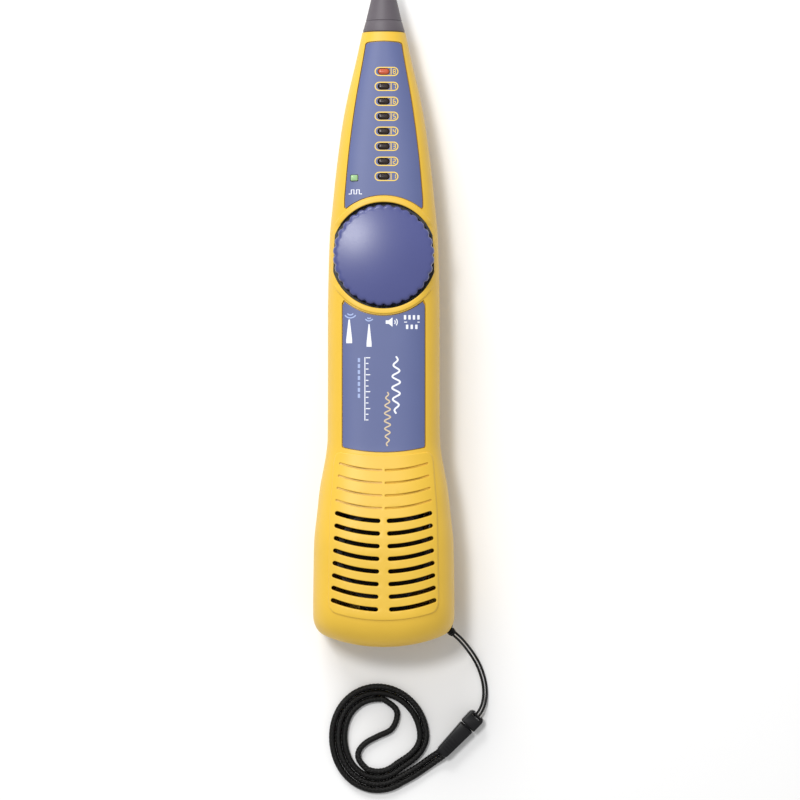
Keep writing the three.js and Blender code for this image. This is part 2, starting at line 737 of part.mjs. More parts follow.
const look = (color, roughness, metalness = 0) =>
  new THREE.MeshStandardMaterial({ color, roughness, metalness });
const YELLOW = look("#efc02e", 0.5);
const LABEL_BLUE = look("#7080b4", 0.55);
const DIAL_BLUE = look("#5c629f", 0.4);
const DARK_GREY = look("#4c4952", 0.6);
const BLACK_PLASTIC = look("#17171a", 0.35);
const CORD_BLACK = look("#141414", 0.9);
const CREAM = look("#e4dfcf", 0.5);
const BOARD_GREEN = look("#1f6b3f", 0.5);
const STEEL = look("#b9bbbd", 0.35, 1);
const GOLD = look("#c79a45", 0.3, 1);
const FERRITE = look("#3a3a3d", 0.7);
const FOAM = look("#37373a", 0.95);
const RED_LIGHT = look("#d8442a", 0.3);
const DARK_LIGHT = look("#26140f", 0.3);
const GREEN_LIGHT = look("#8fc15a", 0.35);
const RED_WIRE = look("#b3231f", 0.5);
const BATTERY_SKIN = look("#2b2f36", 0.4);
const PAPER_CONE = look("#2a2a2c", 0.9);

const probe = new THREE.Group();
const lanyard = new THREE.Group();
const clasp = new THREE.Group();
clasp.position.set(CLASP_START[0], CLASP_START[1], 0);
clasp.rotation.z = Math.atan2(CLASP_END[1] - CLASP_START[1], CLASP_END[0] - CLASP_START[0]);

function add(group, name, made, material) {
  const mesh = new THREE.Mesh(geometryOf(made), material);
  mesh.name = name;
  group.add(mesh);
}

add(probe, "front_case", buildFrontCase(), YELLOW);
add(probe, "rear_case", buildRearCase(), YELLOW);
add(probe, "battery_door", buildBatteryDoor(), YELLOW);
add(probe, "battery_pad", block([-10, 10], [-90, -52], [2.5, 3]), FOAM);
add(probe, "probe_tip", buildTip(), DARK_GREY);
add(probe, "pickup_antenna", buildAntenna(), FERRITE);

add(probe, "upper_label", buildLabel(upperLabelOutline(GAP)), LABEL_BLUE);
add(probe, "lower_label", buildLabel(lowerLabelOutline(GAP)), LABEL_BLUE);
for (let i = 0; i < LIGHTS; i++) {
  const material = i === 0 ? RED_LIGHT : DARK_LIGHT;
  add(probe, "signal_led_" + (i + 1), buildLight(lightCentre(i), 3.8, 2.3), material);
}
add(probe, "sync_led", buildLight(SYNC_LIGHT, 2.4, 2), GREEN_LIGHT);

add(probe, "mode_dial", buildDial(), DIAL_BLUE);
add(probe, "contact_rotor", buildRotor(), CREAM);
add(probe, "rotor_wiper", buildWiper(), GOLD);
add(probe, "dial_screw", buildDialScrew(), STEEL);
add(probe, "detent_spring", buildDetentSpring(), STEEL);

add(probe, "main_board", buildBoard(), BOARD_GREEN);
add(probe, "processor_chip", onBoard([0, -8], 10, 10, 1.2), BLACK_PLASTIC);
add(probe, "amplifier_chip", onBoard([5, -24], 6, 5, 1.6), BLACK_PLASTIC);
add(probe, "crystal_can", buildCrystal([-5, -24]), STEEL);

add(probe, "speaker_frame", speakerPart(SPEAKER_FRAME), STEEL);
add(probe, "speaker_magnet", speakerPart(SPEAKER_MAGNET), FERRITE);
add(probe, "speaker_cone", speakerPart(SPEAKER_CONE), PAPER_CONE);
add(probe, "speaker_gasket", washer(0, SPEAKER_Y, 14, 15.4, 28.2, 28.8, 24), FOAM);
for (const [name, x] of [["speaker_lead_a", -4], ["speaker_lead_b", 4]]) {
  const route = [[x, -68.6, 25], [x, -64, 23.6], [x, -52, 22.4], [x, -42, 21], [x, -35, 18.9]];
  add(probe, name, tube(route, 0.5), BLACK_PLASTIC);
}

add(probe, "battery", buildBattery(), BATTERY_SKIN);
add(probe, "battery_post_plus", buildBatteryPost(-6.35, 2.9), STEEL);
add(probe, "battery_post_minus", buildBatteryPost(6.35, 3.9), STEEL);
add(probe, "battery_snap", block([-11, 11], [-43.2, -40.2], [6, 18]), BLACK_PLASTIC);
for (const [name, x, material] of [
  ["battery_lead_red", -3, RED_WIRE],
  ["battery_lead_black", 3, BLACK_PLASTIC],
]) {
  const route = [[x, -39.9, 10], [x, -37, 10.4], [x, -34, 13], [x, -33, 16]];
  add(probe, name, tube(route, 0.6), material);
}

add(probe, "rj45_jack", buildJack(), BLACK_PLASTIC);
add(probe, "jack_contacts", buildJackContacts(), GOLD);
add(probe, "jack_board", block([-8, 8], [-98.2, -97], [6, 20]), BOARD_GREEN);
add(probe, "jack_ribbon", buildJackRibbon(), CREAM);

SCREWS.forEach((screw, i) => add(probe, "case_screw_" + (i + 1), buildScrew(screw), STEEL));

add(probe, "lanyard_pin", rod(...PIN, 0.95, 6.5, 19.5, 12), STEEL);
add(lanyard, "string_hitch", buildHitch(), CORD_BLACK);
add(lanyard, "string_strand_a", stringStrand(1), CORD_BLACK);
add(lanyard, "string_strand_b", stringStrand(-1), CORD_BLACK);
add(clasp, "clasp_yoke", buildYoke(), BLACK_PLASTIC);
add(clasp, "clasp_sleeve", buildSleeve(), BLACK_PLASTIC);
add(clasp, "wrist_cord_lead", buildCordLead(), CORD_BLACK);
add(lanyard, "wrist_cord_coil", buildCordCoil(), CORD_BLACK);
add(lanyard, "wrist_cord_bight", tube(BIGHT_ROUTE, CORD_R), CORD_BLACK);

lanyard.add(clasp);
probe.add(lanyard);
export default probe;
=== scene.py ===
"""Looks of the tone probe and its wrist lanyard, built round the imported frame.

Shapes are worked out in millimetres in the frame's axes and scaled to metres when a piece is kept.
"""

import json
import math

import bmesh
import bpy
import numpy as np
from mathutils import Matrix, Vector


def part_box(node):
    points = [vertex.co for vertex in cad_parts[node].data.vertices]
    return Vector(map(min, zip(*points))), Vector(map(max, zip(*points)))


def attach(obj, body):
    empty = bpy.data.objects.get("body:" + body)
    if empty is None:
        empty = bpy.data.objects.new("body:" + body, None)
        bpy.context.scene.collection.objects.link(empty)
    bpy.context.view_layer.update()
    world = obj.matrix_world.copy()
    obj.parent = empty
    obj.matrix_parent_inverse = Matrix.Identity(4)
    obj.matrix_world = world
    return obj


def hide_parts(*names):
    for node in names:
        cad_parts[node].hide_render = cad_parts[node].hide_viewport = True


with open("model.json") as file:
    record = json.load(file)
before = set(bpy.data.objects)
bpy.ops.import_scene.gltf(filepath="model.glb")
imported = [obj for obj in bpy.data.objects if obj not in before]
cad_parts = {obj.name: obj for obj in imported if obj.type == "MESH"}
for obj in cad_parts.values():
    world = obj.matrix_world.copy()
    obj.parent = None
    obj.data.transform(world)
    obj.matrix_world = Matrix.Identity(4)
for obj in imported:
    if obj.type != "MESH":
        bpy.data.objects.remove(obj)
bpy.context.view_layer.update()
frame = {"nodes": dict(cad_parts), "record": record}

MM = 0.001
SPLIT_Z = 13.0  # of the joint between the halves
HALF_GAP = 0.15  # half of the gap left there
WALL = 2.2
END_WALL = 2.6
BUTT = -115.0
CASE_END = 93.0
DIAL_Y = 17.0
DIAL_R = 17.1
WELL_R = 17.9
WELL_FLOOR = 23.5
RIM_R = 19.8
PAD_RISE = 0.45  # of the slotted pad over the case
LABEL_SINK = 0.1  # of a label's face under the case's
LABEL_BACK = 0.45
RECESS_FLOOR = 0.75
PRINT_RISE = 0.08
PRINT_ROOT = 0.15


def corners(node):
    """Lowest and highest corner of a CAD node, in millimetres."""
    low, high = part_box(node)
    return np.array(low) / MM, np.array(high) / MM


# ---------- mesh tools


def placed(name, data):
    """A new object in the scene."""
    obj = bpy.data.objects.new(name, data)
    bpy.context.scene.collection.objects.link(obj)
    return obj


def mesh_of(name, vertices, faces):
    """A closed mesh object in millimetres with its faces turned outwards."""
    mesh = bpy.data.meshes.new(name)
    mesh.from_pydata([tuple(map(float, v)) for v in vertices], [], faces)
    made = bmesh.new()
    made.from_mesh(mesh)
    bmesh.ops.recalc_face_normals(made, faces=made.faces)
    made.to_mesh(mesh)
    made.free()
    return placed(name, mesh)


def drop(obj):
    mesh = obj.data
    bpy.data.objects.remove(obj)
    if mesh.users == 0:
        bpy.data.meshes.remove(mesh)


def joined(objects):
    """One object from several, none of which overlap."""
    made = bmesh.new()
    for obj in objects:
        made.from_mesh(obj.data)
        drop(obj)
    mesh = bpy.data.meshes.new("joined")
    made.to_mesh(mesh)
    made.free()
    return placed("joined", mesh)


def boolean(target, operation, tools):
    """Applies each tool to target in turn and uses it up."""
    for tool in tools if isinstance(tools, list) else [tools]:
        modifier = target.modifiers.new("boolean", "BOOLEAN")
        modifier.operation = operation
        modifier.solver = "MANIFOLD"
        modifier.object = tool
        graph = bpy.context.evaluated_depsgraph_get()
        mesh = bpy.data.meshes.new_from_object(target.evaluated_get(graph))
        target.modifiers.clear()
        old = target.data
        target.data = mesh
        bpy.data.meshes.remove(old)
        if len(mesh.polygons) == 0:
            raise RuntimeError(target.name + ": " + operation + " with " + tool.name + " left nothing")
        drop(tool)
    return target


def cut(target, tools):
    return boolean(target, "DIFFERENCE", tools)


def join(target, tools):
    return boolean(target, "UNION", tools)


def cross(target, tools):
    return boolean(target, "INTERSECT", tools)


def keep(obj, name, body, finish, replaces=(), smooth_angle=35):
    """Turns a piece in millimetres into a finished one in metres that rides on a body."""
    obj.name = name
    obj.data.name = name
    obj.data.transform(Matrix.Scale(MM, 4))
    obj.data.materials.clear()
    obj.data.materials.append(FINISH[finish])
    obj.data.polygons.foreach_set("use_smooth", [True] * len(obj.data.polygons))
    obj.data.set_sharp_from_angle(angle=math.radians(smooth_angle))
    obj.data.update()
    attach(obj, body)
    if replaces:
        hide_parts(*replaces)
    return obj


def strip_faces(rows, count, wrap_rows=False):
    """Quads between rings of count points."""
    faces = []
    for r in range(rows if wrap_rows else rows - 1):
        for i in range(count):
            a, b = r * count, ((r + 1) % rows) * count
            j = (i + 1) % count
            faces.append((a + i, a + j, b + j, b + i))
    return faces


def loft(name, rings):
    """A closed solid through rings of equal count, its ends closed with one face each."""
    count = len(rings[0])
    faces = strip_faces(len(rings), count)
    last = (len(rings) - 1) * count
    faces.append(tuple(range(count)))
    faces.append(tuple(range(last, last + count)))
    return mesh_of(name, np.concatenate(rings), faces)


def lathe(name, profile, centre, count, axis="Z"):
    """A solid turned from (radius, height) points that start and end on the axis, or that close."""
    angles = np.linspace(0, 2 * math.pi, count, endpoint=False)
    on_axis = profile[0][0] == 0
    rings = [p for p in profile if p[0] > 0]
    vertices = []
    for radius, height in rings:
        for angle in angles:
            vertices.append((radius * math.cos(angle), radius * math.sin(angle), height))
    faces = strip_faces(len(rings), count, wrap_rows=not on_axis)
    if on_axis:
        for ring, tip in ((0, profile[0][1]), (len(rings) - 1, profile[-1][1])):
            vertices.append((0, 0, tip))
            top = len(vertices) - 1
            faces += [(ring * count + i, ring * count + (i + 1) % count, top) for i in range(count)]
    points = np.array(vertices)
    if axis == "Y":
        points = np.stack([points[:, 0] + centre[0], points[:, 2], centre[1] - points[:, 1]], 1)
    else:
        points = points + np.array([centre[0], centre[1], 0])
    return mesh_of(name, points, faces)


def block(x, y, z):
    """A plain box, used only to cut with."""
    ring = [(x[0], y[0]), (x[1], y[0]), (x[1], y[1]), (x[0], y[1])]
    return loft("block", [np.array([(a, b, h) for a, b in ring], float) for h in z])


def rod(centre, radius, start, end, count, axis="Z"):
    return lathe("rod", [(0, start), (radius, start), (radius, end), (0, end)], centre, count, axis)


# ---------- the case's form


def curve_through(points):
    """A smooth curve through (y, value) points that never overshoots them."""
    at, value = np.array(points, float).T
    rise = np.diff(value) / np.diff(at)
    slope = np.empty(len(at))
    slope[0], slope[-1] = rise[0], rise[-1]
    product = rise[:-1] * rise[1:]
    total = np.where(product > 0, rise[:-1] + rise[1:], 1)
    slope[1:-1] = np.where(product > 0, 2 * product / total, 0)

    def curve(y):
        y = np.clip(y, at[0], at[-1])
        i = np.clip(np.searchsorted(at, y, side="right") - 1, 0, len(at) - 2)
        span = at[i + 1] - at[i]
        t = (y - at[i]) / span
        bend = (2 * t - 3) * t * t
        tilt = span * t * (1 - t) * (slope[i] * (1 - t) - slope[i + 1] * t)
        return value[i] * (1 + bend) - value[i + 1] * bend + tilt

    return curve


half_width_at = curve_through([
    (-104, 24), (-84, 23.7), (-71, 22.6), (-62, 21.7), (-54.7, 20.4), (-50.7, 19.7),
    (-45, 19.1), (-25, 19), (-2, 19), (5, 18.9), (22.7, 18.4), (35, 17.3), (43, 16.5),
    (55.3, 15), (64, 13.7), (71.7, 12.2), (83.9, 9.35), (93, 7.4),
])
front_at = curve_through([
    (-104, 33), (-84, 33), (-62, 31), (-47, 29), (5, 28), (35, 27), (64, 24.5), (93, 20),
])
back_at = curve_through([(25, -1.2), (45, 0.1), (64, 2.2), (93, 6)])
front_squareness = curve_through([(50, 3.6), (72, 3.0), (93, 2.3)])
back_squareness = curve_through([(20, 5), (60, 3.4), (93, 2.3)])

SIDE_ROUND = (5.0, 3.5)  # length along the case, depth
FACE_ROUND = (11.0, 8.0)
BACK_ROUND = (4.0, 4.2)
BUTT_ARC = 56.0
BUTT_MIDDLE_Z = 14.0


def rounding(y, size):
    """How far a rounded edge at the butt has drawn in at y."""
    length, depth = size
    t = np.clip((BUTT + length - y) / length, 0, 1)
    return depth * (1 - np.sqrt(1 - t * t))


def ease(value, start, end):
    """0 before start, 1 after end and a smooth change between."""
    t = np.clip((value - start) / (end - start), 0, 1)
    return t * t * (3 - 2 * t)


def bow_at(y):
    return ease(-y, 50, 108) / (2 * BUTT_ARC)


def case_ring(y, inset, count, shrink=1.0):
    angle = np.linspace(0, 2 * math.pi, count, endpoint=False)
    half = half_width_at(y) - rounding(y, SIDE_ROUND) - inset
    front = front_at(y) - rounding(y, FACE_ROUND) - SPLIT_Z - inset
    back = SPLIT_Z - back_at(y) - rounding(y, BACK_ROUND) - inset
    is_front = np.sin(angle) >= -1e-9
    power = 2 / np.where(is_front, front_squareness(y), back_squareness(y))
    across = np.sign(np.cos(angle)) * np.abs(np.cos(angle)) ** power
    up = np.sign(np.sin(angle)) * np.abs(np.sin(angle)) ** power
    x = half * across * shrink
    z = np.maximum(SPLIT_Z + np.where(is_front, front, back) * up, inset)
    stand_off = inset * np.clip((BUTT + FACE_ROUND[0] - y) / FACE_ROUND[0], 0, 1)
    z = BUTT_MIDDLE_Z + (z - BUTT_MIDDLE_Z) * shrink
    return np.stack([x, y + stand_off + bow_at(y) * x * x, z], 1)


def case_form(inset, end=CASE_END, count=144, spacing=1.5):
    """The case's outer form, moved in by inset."""
    turn = np.linspace(0, math.pi / 2, 10)
    butt = BUTT + FACE_ROUND[0] * (1 - np.sin(turn[::-1]))
    along = np.linspace(BUTT + FACE_ROUND[0], end, int((end - BUTT - FACE_ROUND[0]) / spacing))
    stations = np.concatenate([butt, along[1:]])
    cap = [case_ring(BUTT, inset, count, shrink) for shrink in (0.2, 0.4, 0.6, 0.8)]
    return loft("form", cap + [case_ring(y, inset, count) for y in stations])


def face_height(points, inset=0.0):
    """Height of the case's front surface over plan points."""
    x, y = np.asarray(points, float).T
    nominal = y.copy()
    for _ in range(4):
        nominal = y - bow_at(nominal) * x * x
    half = half_width_at(nominal) - rounding(nominal, SIDE_ROUND) - inset
    front = front_at(nominal) - rounding(nominal, FACE_ROUND) - SPLIT_Z - inset
    power = front_squareness(nominal)
    share = np.clip(np.abs(x) / half, 0, 0.995)
    return SPLIT_Z + front * (1 - share**power) ** (1 / power)


# ---------- outlines and cutters


def unit(vectors):
    return vectors / np.linalg.norm(vectors, axis=1, keepdims=True)


def right_of(along):
    """Directions turned a quarter to the right."""
    return np.column_stack([along[:, 1], -along[:, 0]])


def arc(centre, radius, start, end, count):
    angle = np.radians(np.linspace(start, end, count))
    return np.stack([centre[0] + radius * np.cos(angle), centre[1] + radius * np.sin(angle)], 1)


def offset(outline, distance):
    """A counter-clockwise outline moved outwards along its normals."""
    ahead = unit(np.roll(outline, -1, 0) - outline)
    behind = unit(outline - np.roll(outline, 1, 0))
    along = unit(ahead + behind)
    stretch = 1 / np.clip((along * ahead).sum(1), 0.5, 1)
    return outline + right_of(along) * (distance * stretch)[:, None]


def rounded(points, radius, steps=5):
    """A counter-clockwise polygon with its corners rounded, where radius is one or one per corner."""
    points = np.array(points, float)
    radii = np.broadcast_to(radius, len(points))
    made = []
    for i, corner in enumerate(points):
        before = points[i - 1] - corner
        after = points[(i + 1) % len(points)] - corner
        to_before = before / np.linalg.norm(before)
        to_after = after / np.linalg.norm(after)
        half = math.acos(np.clip(to_before @ to_after, -1, 1)) / 2
        reach = radii[i] / math.tan(half)
        if radii[i] <= 0 or half > 1.5:
            made.append(corner)
            continue
        start, end = corner + to_before * reach, corner + to_after * reach
        middle = corner + (to_before + to_after) / np.linalg.norm(to_before + to_after) * (
            radii[i] / math.sin(half)
        )
        a = math.atan2(*(start - middle)[::-1])
        b = math.atan2(*(end - middle)[::-1])
        sweep = (b - a + math.pi) % (2 * math.pi) - math.pi
        for t in np.linspace(0, 1, steps):
            made.append(middle + radii[i] * np.array([math.cos(a + sweep * t), math.sin(a + sweep * t)]))
    return np.array(made)


def resampled(line, spacing, closed=False):
    """Points spaced evenly along a line, and its length."""
    run = np.concatenate([[0], np.cumsum(np.linalg.norm(np.diff(line, axis=0), axis=1))])
    at = np.linspace(0, run[-1], int(run[-1] / spacing) + (not closed), endpoint=not closed)
    return np.column_stack([np.interp(at, run, column) for column in line.T]), run[-1]


def softened(outline, spacing=0.6, rounds=6):
    """An outline resampled evenly, with its corners worn round."""
    made, _ = resampled(np.vstack([outline, outline[:1]]), spacing, closed=True)
    for _ in range(rounds):
        made = (np.roll(made, 1, 0) + 2 * made + np.roll(made, -1, 0)) / 4
    return made


def rectangle(centre, width, length, radius):
    x, y, w, h = *centre, width / 2, length / 2
    return rounded([(x - w, y - h), (x + w, y - h), (x + w, y + h), (x - w, y + h)], radius)


def stadium(path, half_width, steps=7):
    """Outline of a path thickened by half_width, with round ends."""
    path = np.array(path, float)
    along = unit(np.gradient(path, axis=0))
    side = right_of(along) * half_width
    first = math.degrees(math.atan2(along[0][1], along[0][0]))
    last = math.degrees(math.atan2(along[-1][1], along[-1][0]))
    head = arc(path[-1], half_width, last - 90, last + 90, steps)[1:-1]
    tail = arc(path[0], half_width, first + 90, first + 270, steps)[1:-1]
    return np.concatenate([path + side, head, (path - side)[::-1], tail])


def levelled(outline, levels, height):
    """The rings of an outline's levels: (growth, rise over the surface)."""
    rings = []
    for growth, rise in levels:
        ring = offset(outline, growth) if growth else outline
        rings.append(np.column_stack([ring, height(ring) + rise]))
    return rings


def flat(points):
    return np.zeros(len(points))


def hoop(name, rings):
    """A closed solid through rings of which the last joins the first."""
    faces = strip_faces(len(rings), len(rings[0]), wrap_rows=True)
    return mesh_of(name, np.concatenate(rings), faces)


def edge_levels(radius, steps=5):
    """The (inward, fall) levels of a rounded upper edge, from the wall up to the surface."""
    turn = np.linspace(0, math.pi / 2, steps)
    return [(radius * (1 - math.cos(a)), radius * (math.sin(a) - 1)) for a in turn]


def pad_height(points):
    return face_height(points, -PAD_RISE)


def flared(outline, radius, bottom):
    """A cutter for a hole in the pad, down to bottom under its surface, with a rounded upper edge."""
    levels = [(0, bottom), *edge_levels(radius), (radius, 1.5)]
    return loft("flared", levelled(outline, levels, pad_height))


def edge_cutter(outline, radius, lift):
    """A hoop that rounds the upper edge of a pad standing lift above the surface."""
    outside, clear = 0.15, 0.6
    edge = [(-inward, lift + fall) for inward, fall in edge_levels(radius)]
    levels = [(outside, lift - radius), *edge, (-radius, lift + clear), (outside, lift + clear)]
    return hoop("edge", levelled(outline, levels, face_height))


def upper_label_outline(trim=0.0):
    """The upper label's recess, or the label itself when trimmed."""
    side = curve_through([(36, 13.35), (50, 12.1), (67, 9.95), (87.3, 6.5), (90, 6.1)])
    radius = RIM_R + 0.3 + trim
    y = np.linspace(34.5, 88.7, 26)
    right = np.column_stack([side(y) - trim, y])
    top = [(5.2 - trim, 89.6 - trim), (2.5, 89.8 - trim), (0, 89.9 - trim)]
    corner = [(side(89.2) - trim - 0.15, 89.25 - trim)]
    half = np.concatenate([right, corner, top])
    low = np.degrees(np.arctan2(15.9, 13.0 - trim))
    bottom = arc((0, DIAL_Y), radius, 180 - low, low, 28)
    foot = [(13.3 - trim, 33.1 + trim)]
    right_side = np.concatenate([foot, half])
    left_side = (right_side * [-1, 1])[::-1][1:]
    return np.concatenate([bottom, right_side, left_side])


def lower_label_outline(trim=0.0):
    """The lower label's recess, or the label itself when trimmed."""
    half = 14.1
    x = half - trim
    radius = RIM_R + 0.3 + trim
    start = np.degrees(np.arctan2(np.sqrt(radius**2 - (x - 0.7) ** 2), x - 0.7))
    top = arc((0, DIAL_Y), radius, -start, start - 180, 28)
    across = np.linspace(-x + 0.3, x - 0.3, 21)
    bottom = np.column_stack([across, -49.4 + trim + 1.7 * (across / half) ** 2])
    left = [(-x, top[-1][1] - 1.2), (-x, -25), (-x, -47.3 + trim)]
    right = [(x, -47.3 + trim), (x, -25), (x, top[0][1] - 1.2)]
    return np.concatenate([top, left, bottom, right])


def grille_pad_outline():
    """The raised pad's plan: bowed head and foot, and sides that spread toward the butt."""
    head_y, foot_y, head_bow, foot_bow, half = -50.2, -105.6, 1.4, 3.0, 16.6
    across = np.linspace(-15.6, 15.6, 21)
    head = np.column_stack([across, head_y + head_bow * (across / half) ** 2])
    foot = np.column_stack([across[::-1] * 1.12, foot_y + foot_bow * (across / half) ** 2])
    y = np.linspace(-100.5, -51, 12)
    edge = np.interp(y, [-103, -70, -49], [18.7, 18.2, half])
    right = np.column_stack([edge, y])
    return softened(np.concatenate([head[::-1], right[::-1] * [-1, 1], foot[::-1], right]))


ROW_Y, ROW_PITCH, ROW_ARC = -55.3, 4.24, 49.0
GROOVES = (0, 4, (0.8, 0), (14.6, 0.4), 0.34)  # first row, rows, inner and outer ends, half width
SLOTS = (4, 8, (1.8, 0.11), (15.6, 0.2), 0.74)


def row_path(row, side, x0, x1):
    """One side of a bowed row of the pad, counted from its head."""
    x = np.linspace(x0, x1, 9)
    y = ROW_Y - row * ROW_PITCH + ROW_ARC - np.sqrt(ROW_ARC**2 - x**2)
    return np.column_stack([side * x, y])


def row_outlines(first, rows, inner, outer, half_width):
    """Both sides of some rows: inner and outer are an end's x at the first row and its step."""
    return [
        stadium(row_path(first + i, side, inner[0] + inner[1] * i, outer[0] + outer[1] * i), half_width)
        for side in (-1, 1)
        for i in range(rows)
    ]


LIGHT_Y, LIGHT_PITCH, LIGHTS = 79.3, 5.1, 8
LIGHT_CENTRES = [(0.0, LIGHT_Y - LIGHT_PITCH * i) for i in range(LIGHTS)]
SYNC_CENTRE = (-9.9, 43.1)


def window_outlines():
    lights = [stadium([(x - 0.95, y), (x + 0.95, y)], 1.1) for x, y in LIGHT_CENTRES]
    return lights + [rectangle(SYNC_CENTRE, 2.6, 2.2, 0.3)]


PIN = (21.3, -108.5)
NOTCH, NOTCH_R = (22.0, -109.3), 3.3
NOTCH_FLOOR, NOTCH_ROOF, NOTCH_ROUND = 9.5, 16.5, 0.5
JACK_LOW, JACK_HIGH = corners("rj45_jack")
JACK_FLOOR = -100.2  # how deep its cavity goes


def lanyard_notch():
    inner = NOTCH_R - NOTCH_ROUND
    profile = [(0, NOTCH_FLOOR), (inner, NOTCH_FLOOR), (NOTCH_R, NOTCH_FLOOR + NOTCH_ROUND)]
    profile += [(NOTCH_R, NOTCH_ROOF - NOTCH_ROUND), (inner, NOTCH_ROOF), (0, NOTCH_ROOF)]
    return lathe("notch", profile, NOTCH, 48)


def along_y(outline, levels):
    """A solid through copies of an (x, z) outline at the given (growth, y) levels."""
    return loft("along_y", [ring[:, [0, 2, 1]] for ring in levelled(outline, levels, flat)])


def jack_opening():
    gap = 0.3
    x, low, high = JACK_HIGH[0] + gap, JACK_LOW[2] - gap, JACK_HIGH[2] + gap
    outline = rounded([(-x, low), (x, low), (x, high), (-x, high)], 0.6)
    mouth = [(0.8, BUTT - 6), (0.7, BUTT + 0.1), (0.15, BUTT + 0.6), (0, BUTT + 0.9)]
    return along_y(outline, mouth + [(0, JACK_HIGH[1] + gap)])


# ---------- materials


FINISH = {}
TONE_SIZE = 9
GLOSS_SPREAD = 0.06


def surface(name, colour, roughness, metallic=0.0, grain=0.35, relief=0.012, mottle=0.04, **sockets):
    """A procedural finish: grain is the texture's size and relief its height, in millimetres."""
    made = bpy.data.materials.new(name)
    made.use_nodes = True
    nodes, link = made.node_tree.nodes, made.node_tree.links.new
    shader = nodes["Principled BSDF"]
    shader.inputs["Metallic"].default_value = metallic
    for socket, value in sockets.items():
        shader.inputs[socket.replace("_", " ")].default_value = value
    place = nodes.new("ShaderNodeTexCoord").outputs["Object"]

    def noise(size, detail):
        node = nodes.new("ShaderNodeTexNoise")
        node.inputs["Scale"].default_value = 1 / (size * MM)
        node.inputs["Detail"].default_value = detail
        link(place, node.inputs["Vector"])
        return node.outputs["Fac"]

    fine, broad = noise(grain, 3), noise(TONE_SIZE, 4)
    tone = nodes.new("ShaderNodeMix")
    tone.data_type = "RGBA"
    tone.inputs[6].default_value = [c * (1 - mottle) for c in colour] + [1]
    tone.inputs[7].default_value = [min(1, c * (1 + mottle)) for c in colour] + [1]
    link(broad, tone.inputs[0])
    link(tone.outputs[2], shader.inputs["Base Color"])
    gloss = nodes.new("ShaderNodeMapRange")
    gloss.inputs["To Min"].default_value = roughness - GLOSS_SPREAD
    gloss.inputs["To Max"].default_value = roughness + GLOSS_SPREAD
    link(fine, gloss.inputs["Value"])
    link(gloss.outputs["Result"], shader.inputs["Roughness"])
    bump = nodes.new("ShaderNodeBump")
    bump.inputs["Distance"].default_value = relief * MM
    link(fine, bump.inputs["Height"])
    link(bump.outputs["Normal"], shader.inputs["Normal"])
    FINISH[name] = made
    return made


surface("case_yellow", (0.75, 0.47, 0.042), 0.44, relief=0.010)
surface("tip_grey", (0.098, 0.084, 0.098), 0.55, grain=0.3, relief=0.02)
surface("label_blue", (0.100, 0.124, 0.275), 0.50, grain=0.2, relief=0.004)
surface("dial_blue", (0.070, 0.081, 0.235), 0.31, relief=0.008)
surface("print_white", (0.82, 0.84, 0.90), 0.5, grain=0.2, relief=0.003)
surface("print_yellow", (0.86, 0.60, 0.10), 0.5, grain=0.2, relief=0.003)
surface("print_tan", (0.62, 0.50, 0.34), 0.5, grain=0.2, relief=0.003)
surface("print_pale", (0.34, 0.42, 0.68), 0.5, grain=0.2, relief=0.003)
surface(
    "light_red", (0.46, 0.075, 0.03), 0.26, relief=0.002,
    Emission_Strength=0.06, Emission_Color=(1, 0.22, 0.05, 1),
)
surface("light_dark", (0.018, 0.009, 0.008), 0.22, relief=0.002)
surface("light_green", (0.34, 0.56, 0.27), 0.25, relief=0.002)
surface("plastic_black", (0.012, 0.012, 0.013), 0.42)
surface("clasp_black", (0.006, 0.006, 0.007), 0.32, relief=0.006, Specular_IOR_Level=0.27)
surface("cord_black", (0.003, 0.0028, 0.0026), 0.42, grain=0.16, relief=0.03, Specular_IOR_Level=0.22)
surface("plastic_cream", (0.72, 0.68, 0.55), 0.5)
surface("board_green", (0.02, 0.13, 0.05), 0.4, relief=0.006)
surface("steel", (0.52, 0.53, 0.54), 0.32, 1.0, grain=0.15, relief=0.004)
surface("contact_gold", (0.70, 0.45, 0.13), 0.28, 1.0, relief=0.004)
surface("ferrite", (0.03, 0.03, 0.033), 0.7, relief=0.02)
surface("foam", (0.03, 0.03, 0.033), 0.95, grain=0.25, relief=0.12)
surface("cone_paper", (0.02, 0.02, 0.021), 0.9, grain=0.2, relief=0.03)
surface("wire_red", (0.48, 0.02, 0.015), 0.45)
surface("wire_black", (0.012, 0.012, 0.012), 0.45)
surface("battery_skin", (0.022, 0.028, 0.04), 0.35, relief=0.004)

# ---------- camera, lights and floor

VIEW_X, VIEW_Y, VIEW_HEIGHT = 5.5 * MM, -31.7 * MM, 1.3
camera = placed("camera", bpy.data.cameras.new("camera"))
camera.location = (VIEW_X, VIEW_Y, VIEW_HEIGHT)  # straight above, as in the photograph
camera.data.lens = 170.2
camera.data.clip_start = 0.05
bpy.context.scene.camera = camera


LIGHT_AIM = (0, -0.02, 0.01)


def area_light(name, location, size, power):
    data = bpy.data.lights.new(name, "AREA")
    data.size, data.energy = size, power
    lamp = placed(name, data)
    lamp.location = location
    lamp.rotation_euler = (lamp.location - Vector(LIGHT_AIM)).to_track_quat("Z", "Y").to_euler()


area_light("key", (-0.42, 1.00, 0.76), 0.6, 10.5)
area_light("overhead", (-0.28, 0.26, 1.12), 0.21, 6.0)
world = bpy.data.worlds.new("world")
world.use_nodes = True
backdrop = world.node_tree.nodes["Background"].inputs
backdrop["Color"].default_value = (1, 1, 1, 1)
backdrop["Strength"].default_value = 0.50
bpy.context.scene.world = world
bpy.context.scene.view_settings.view_transform = "Standard"

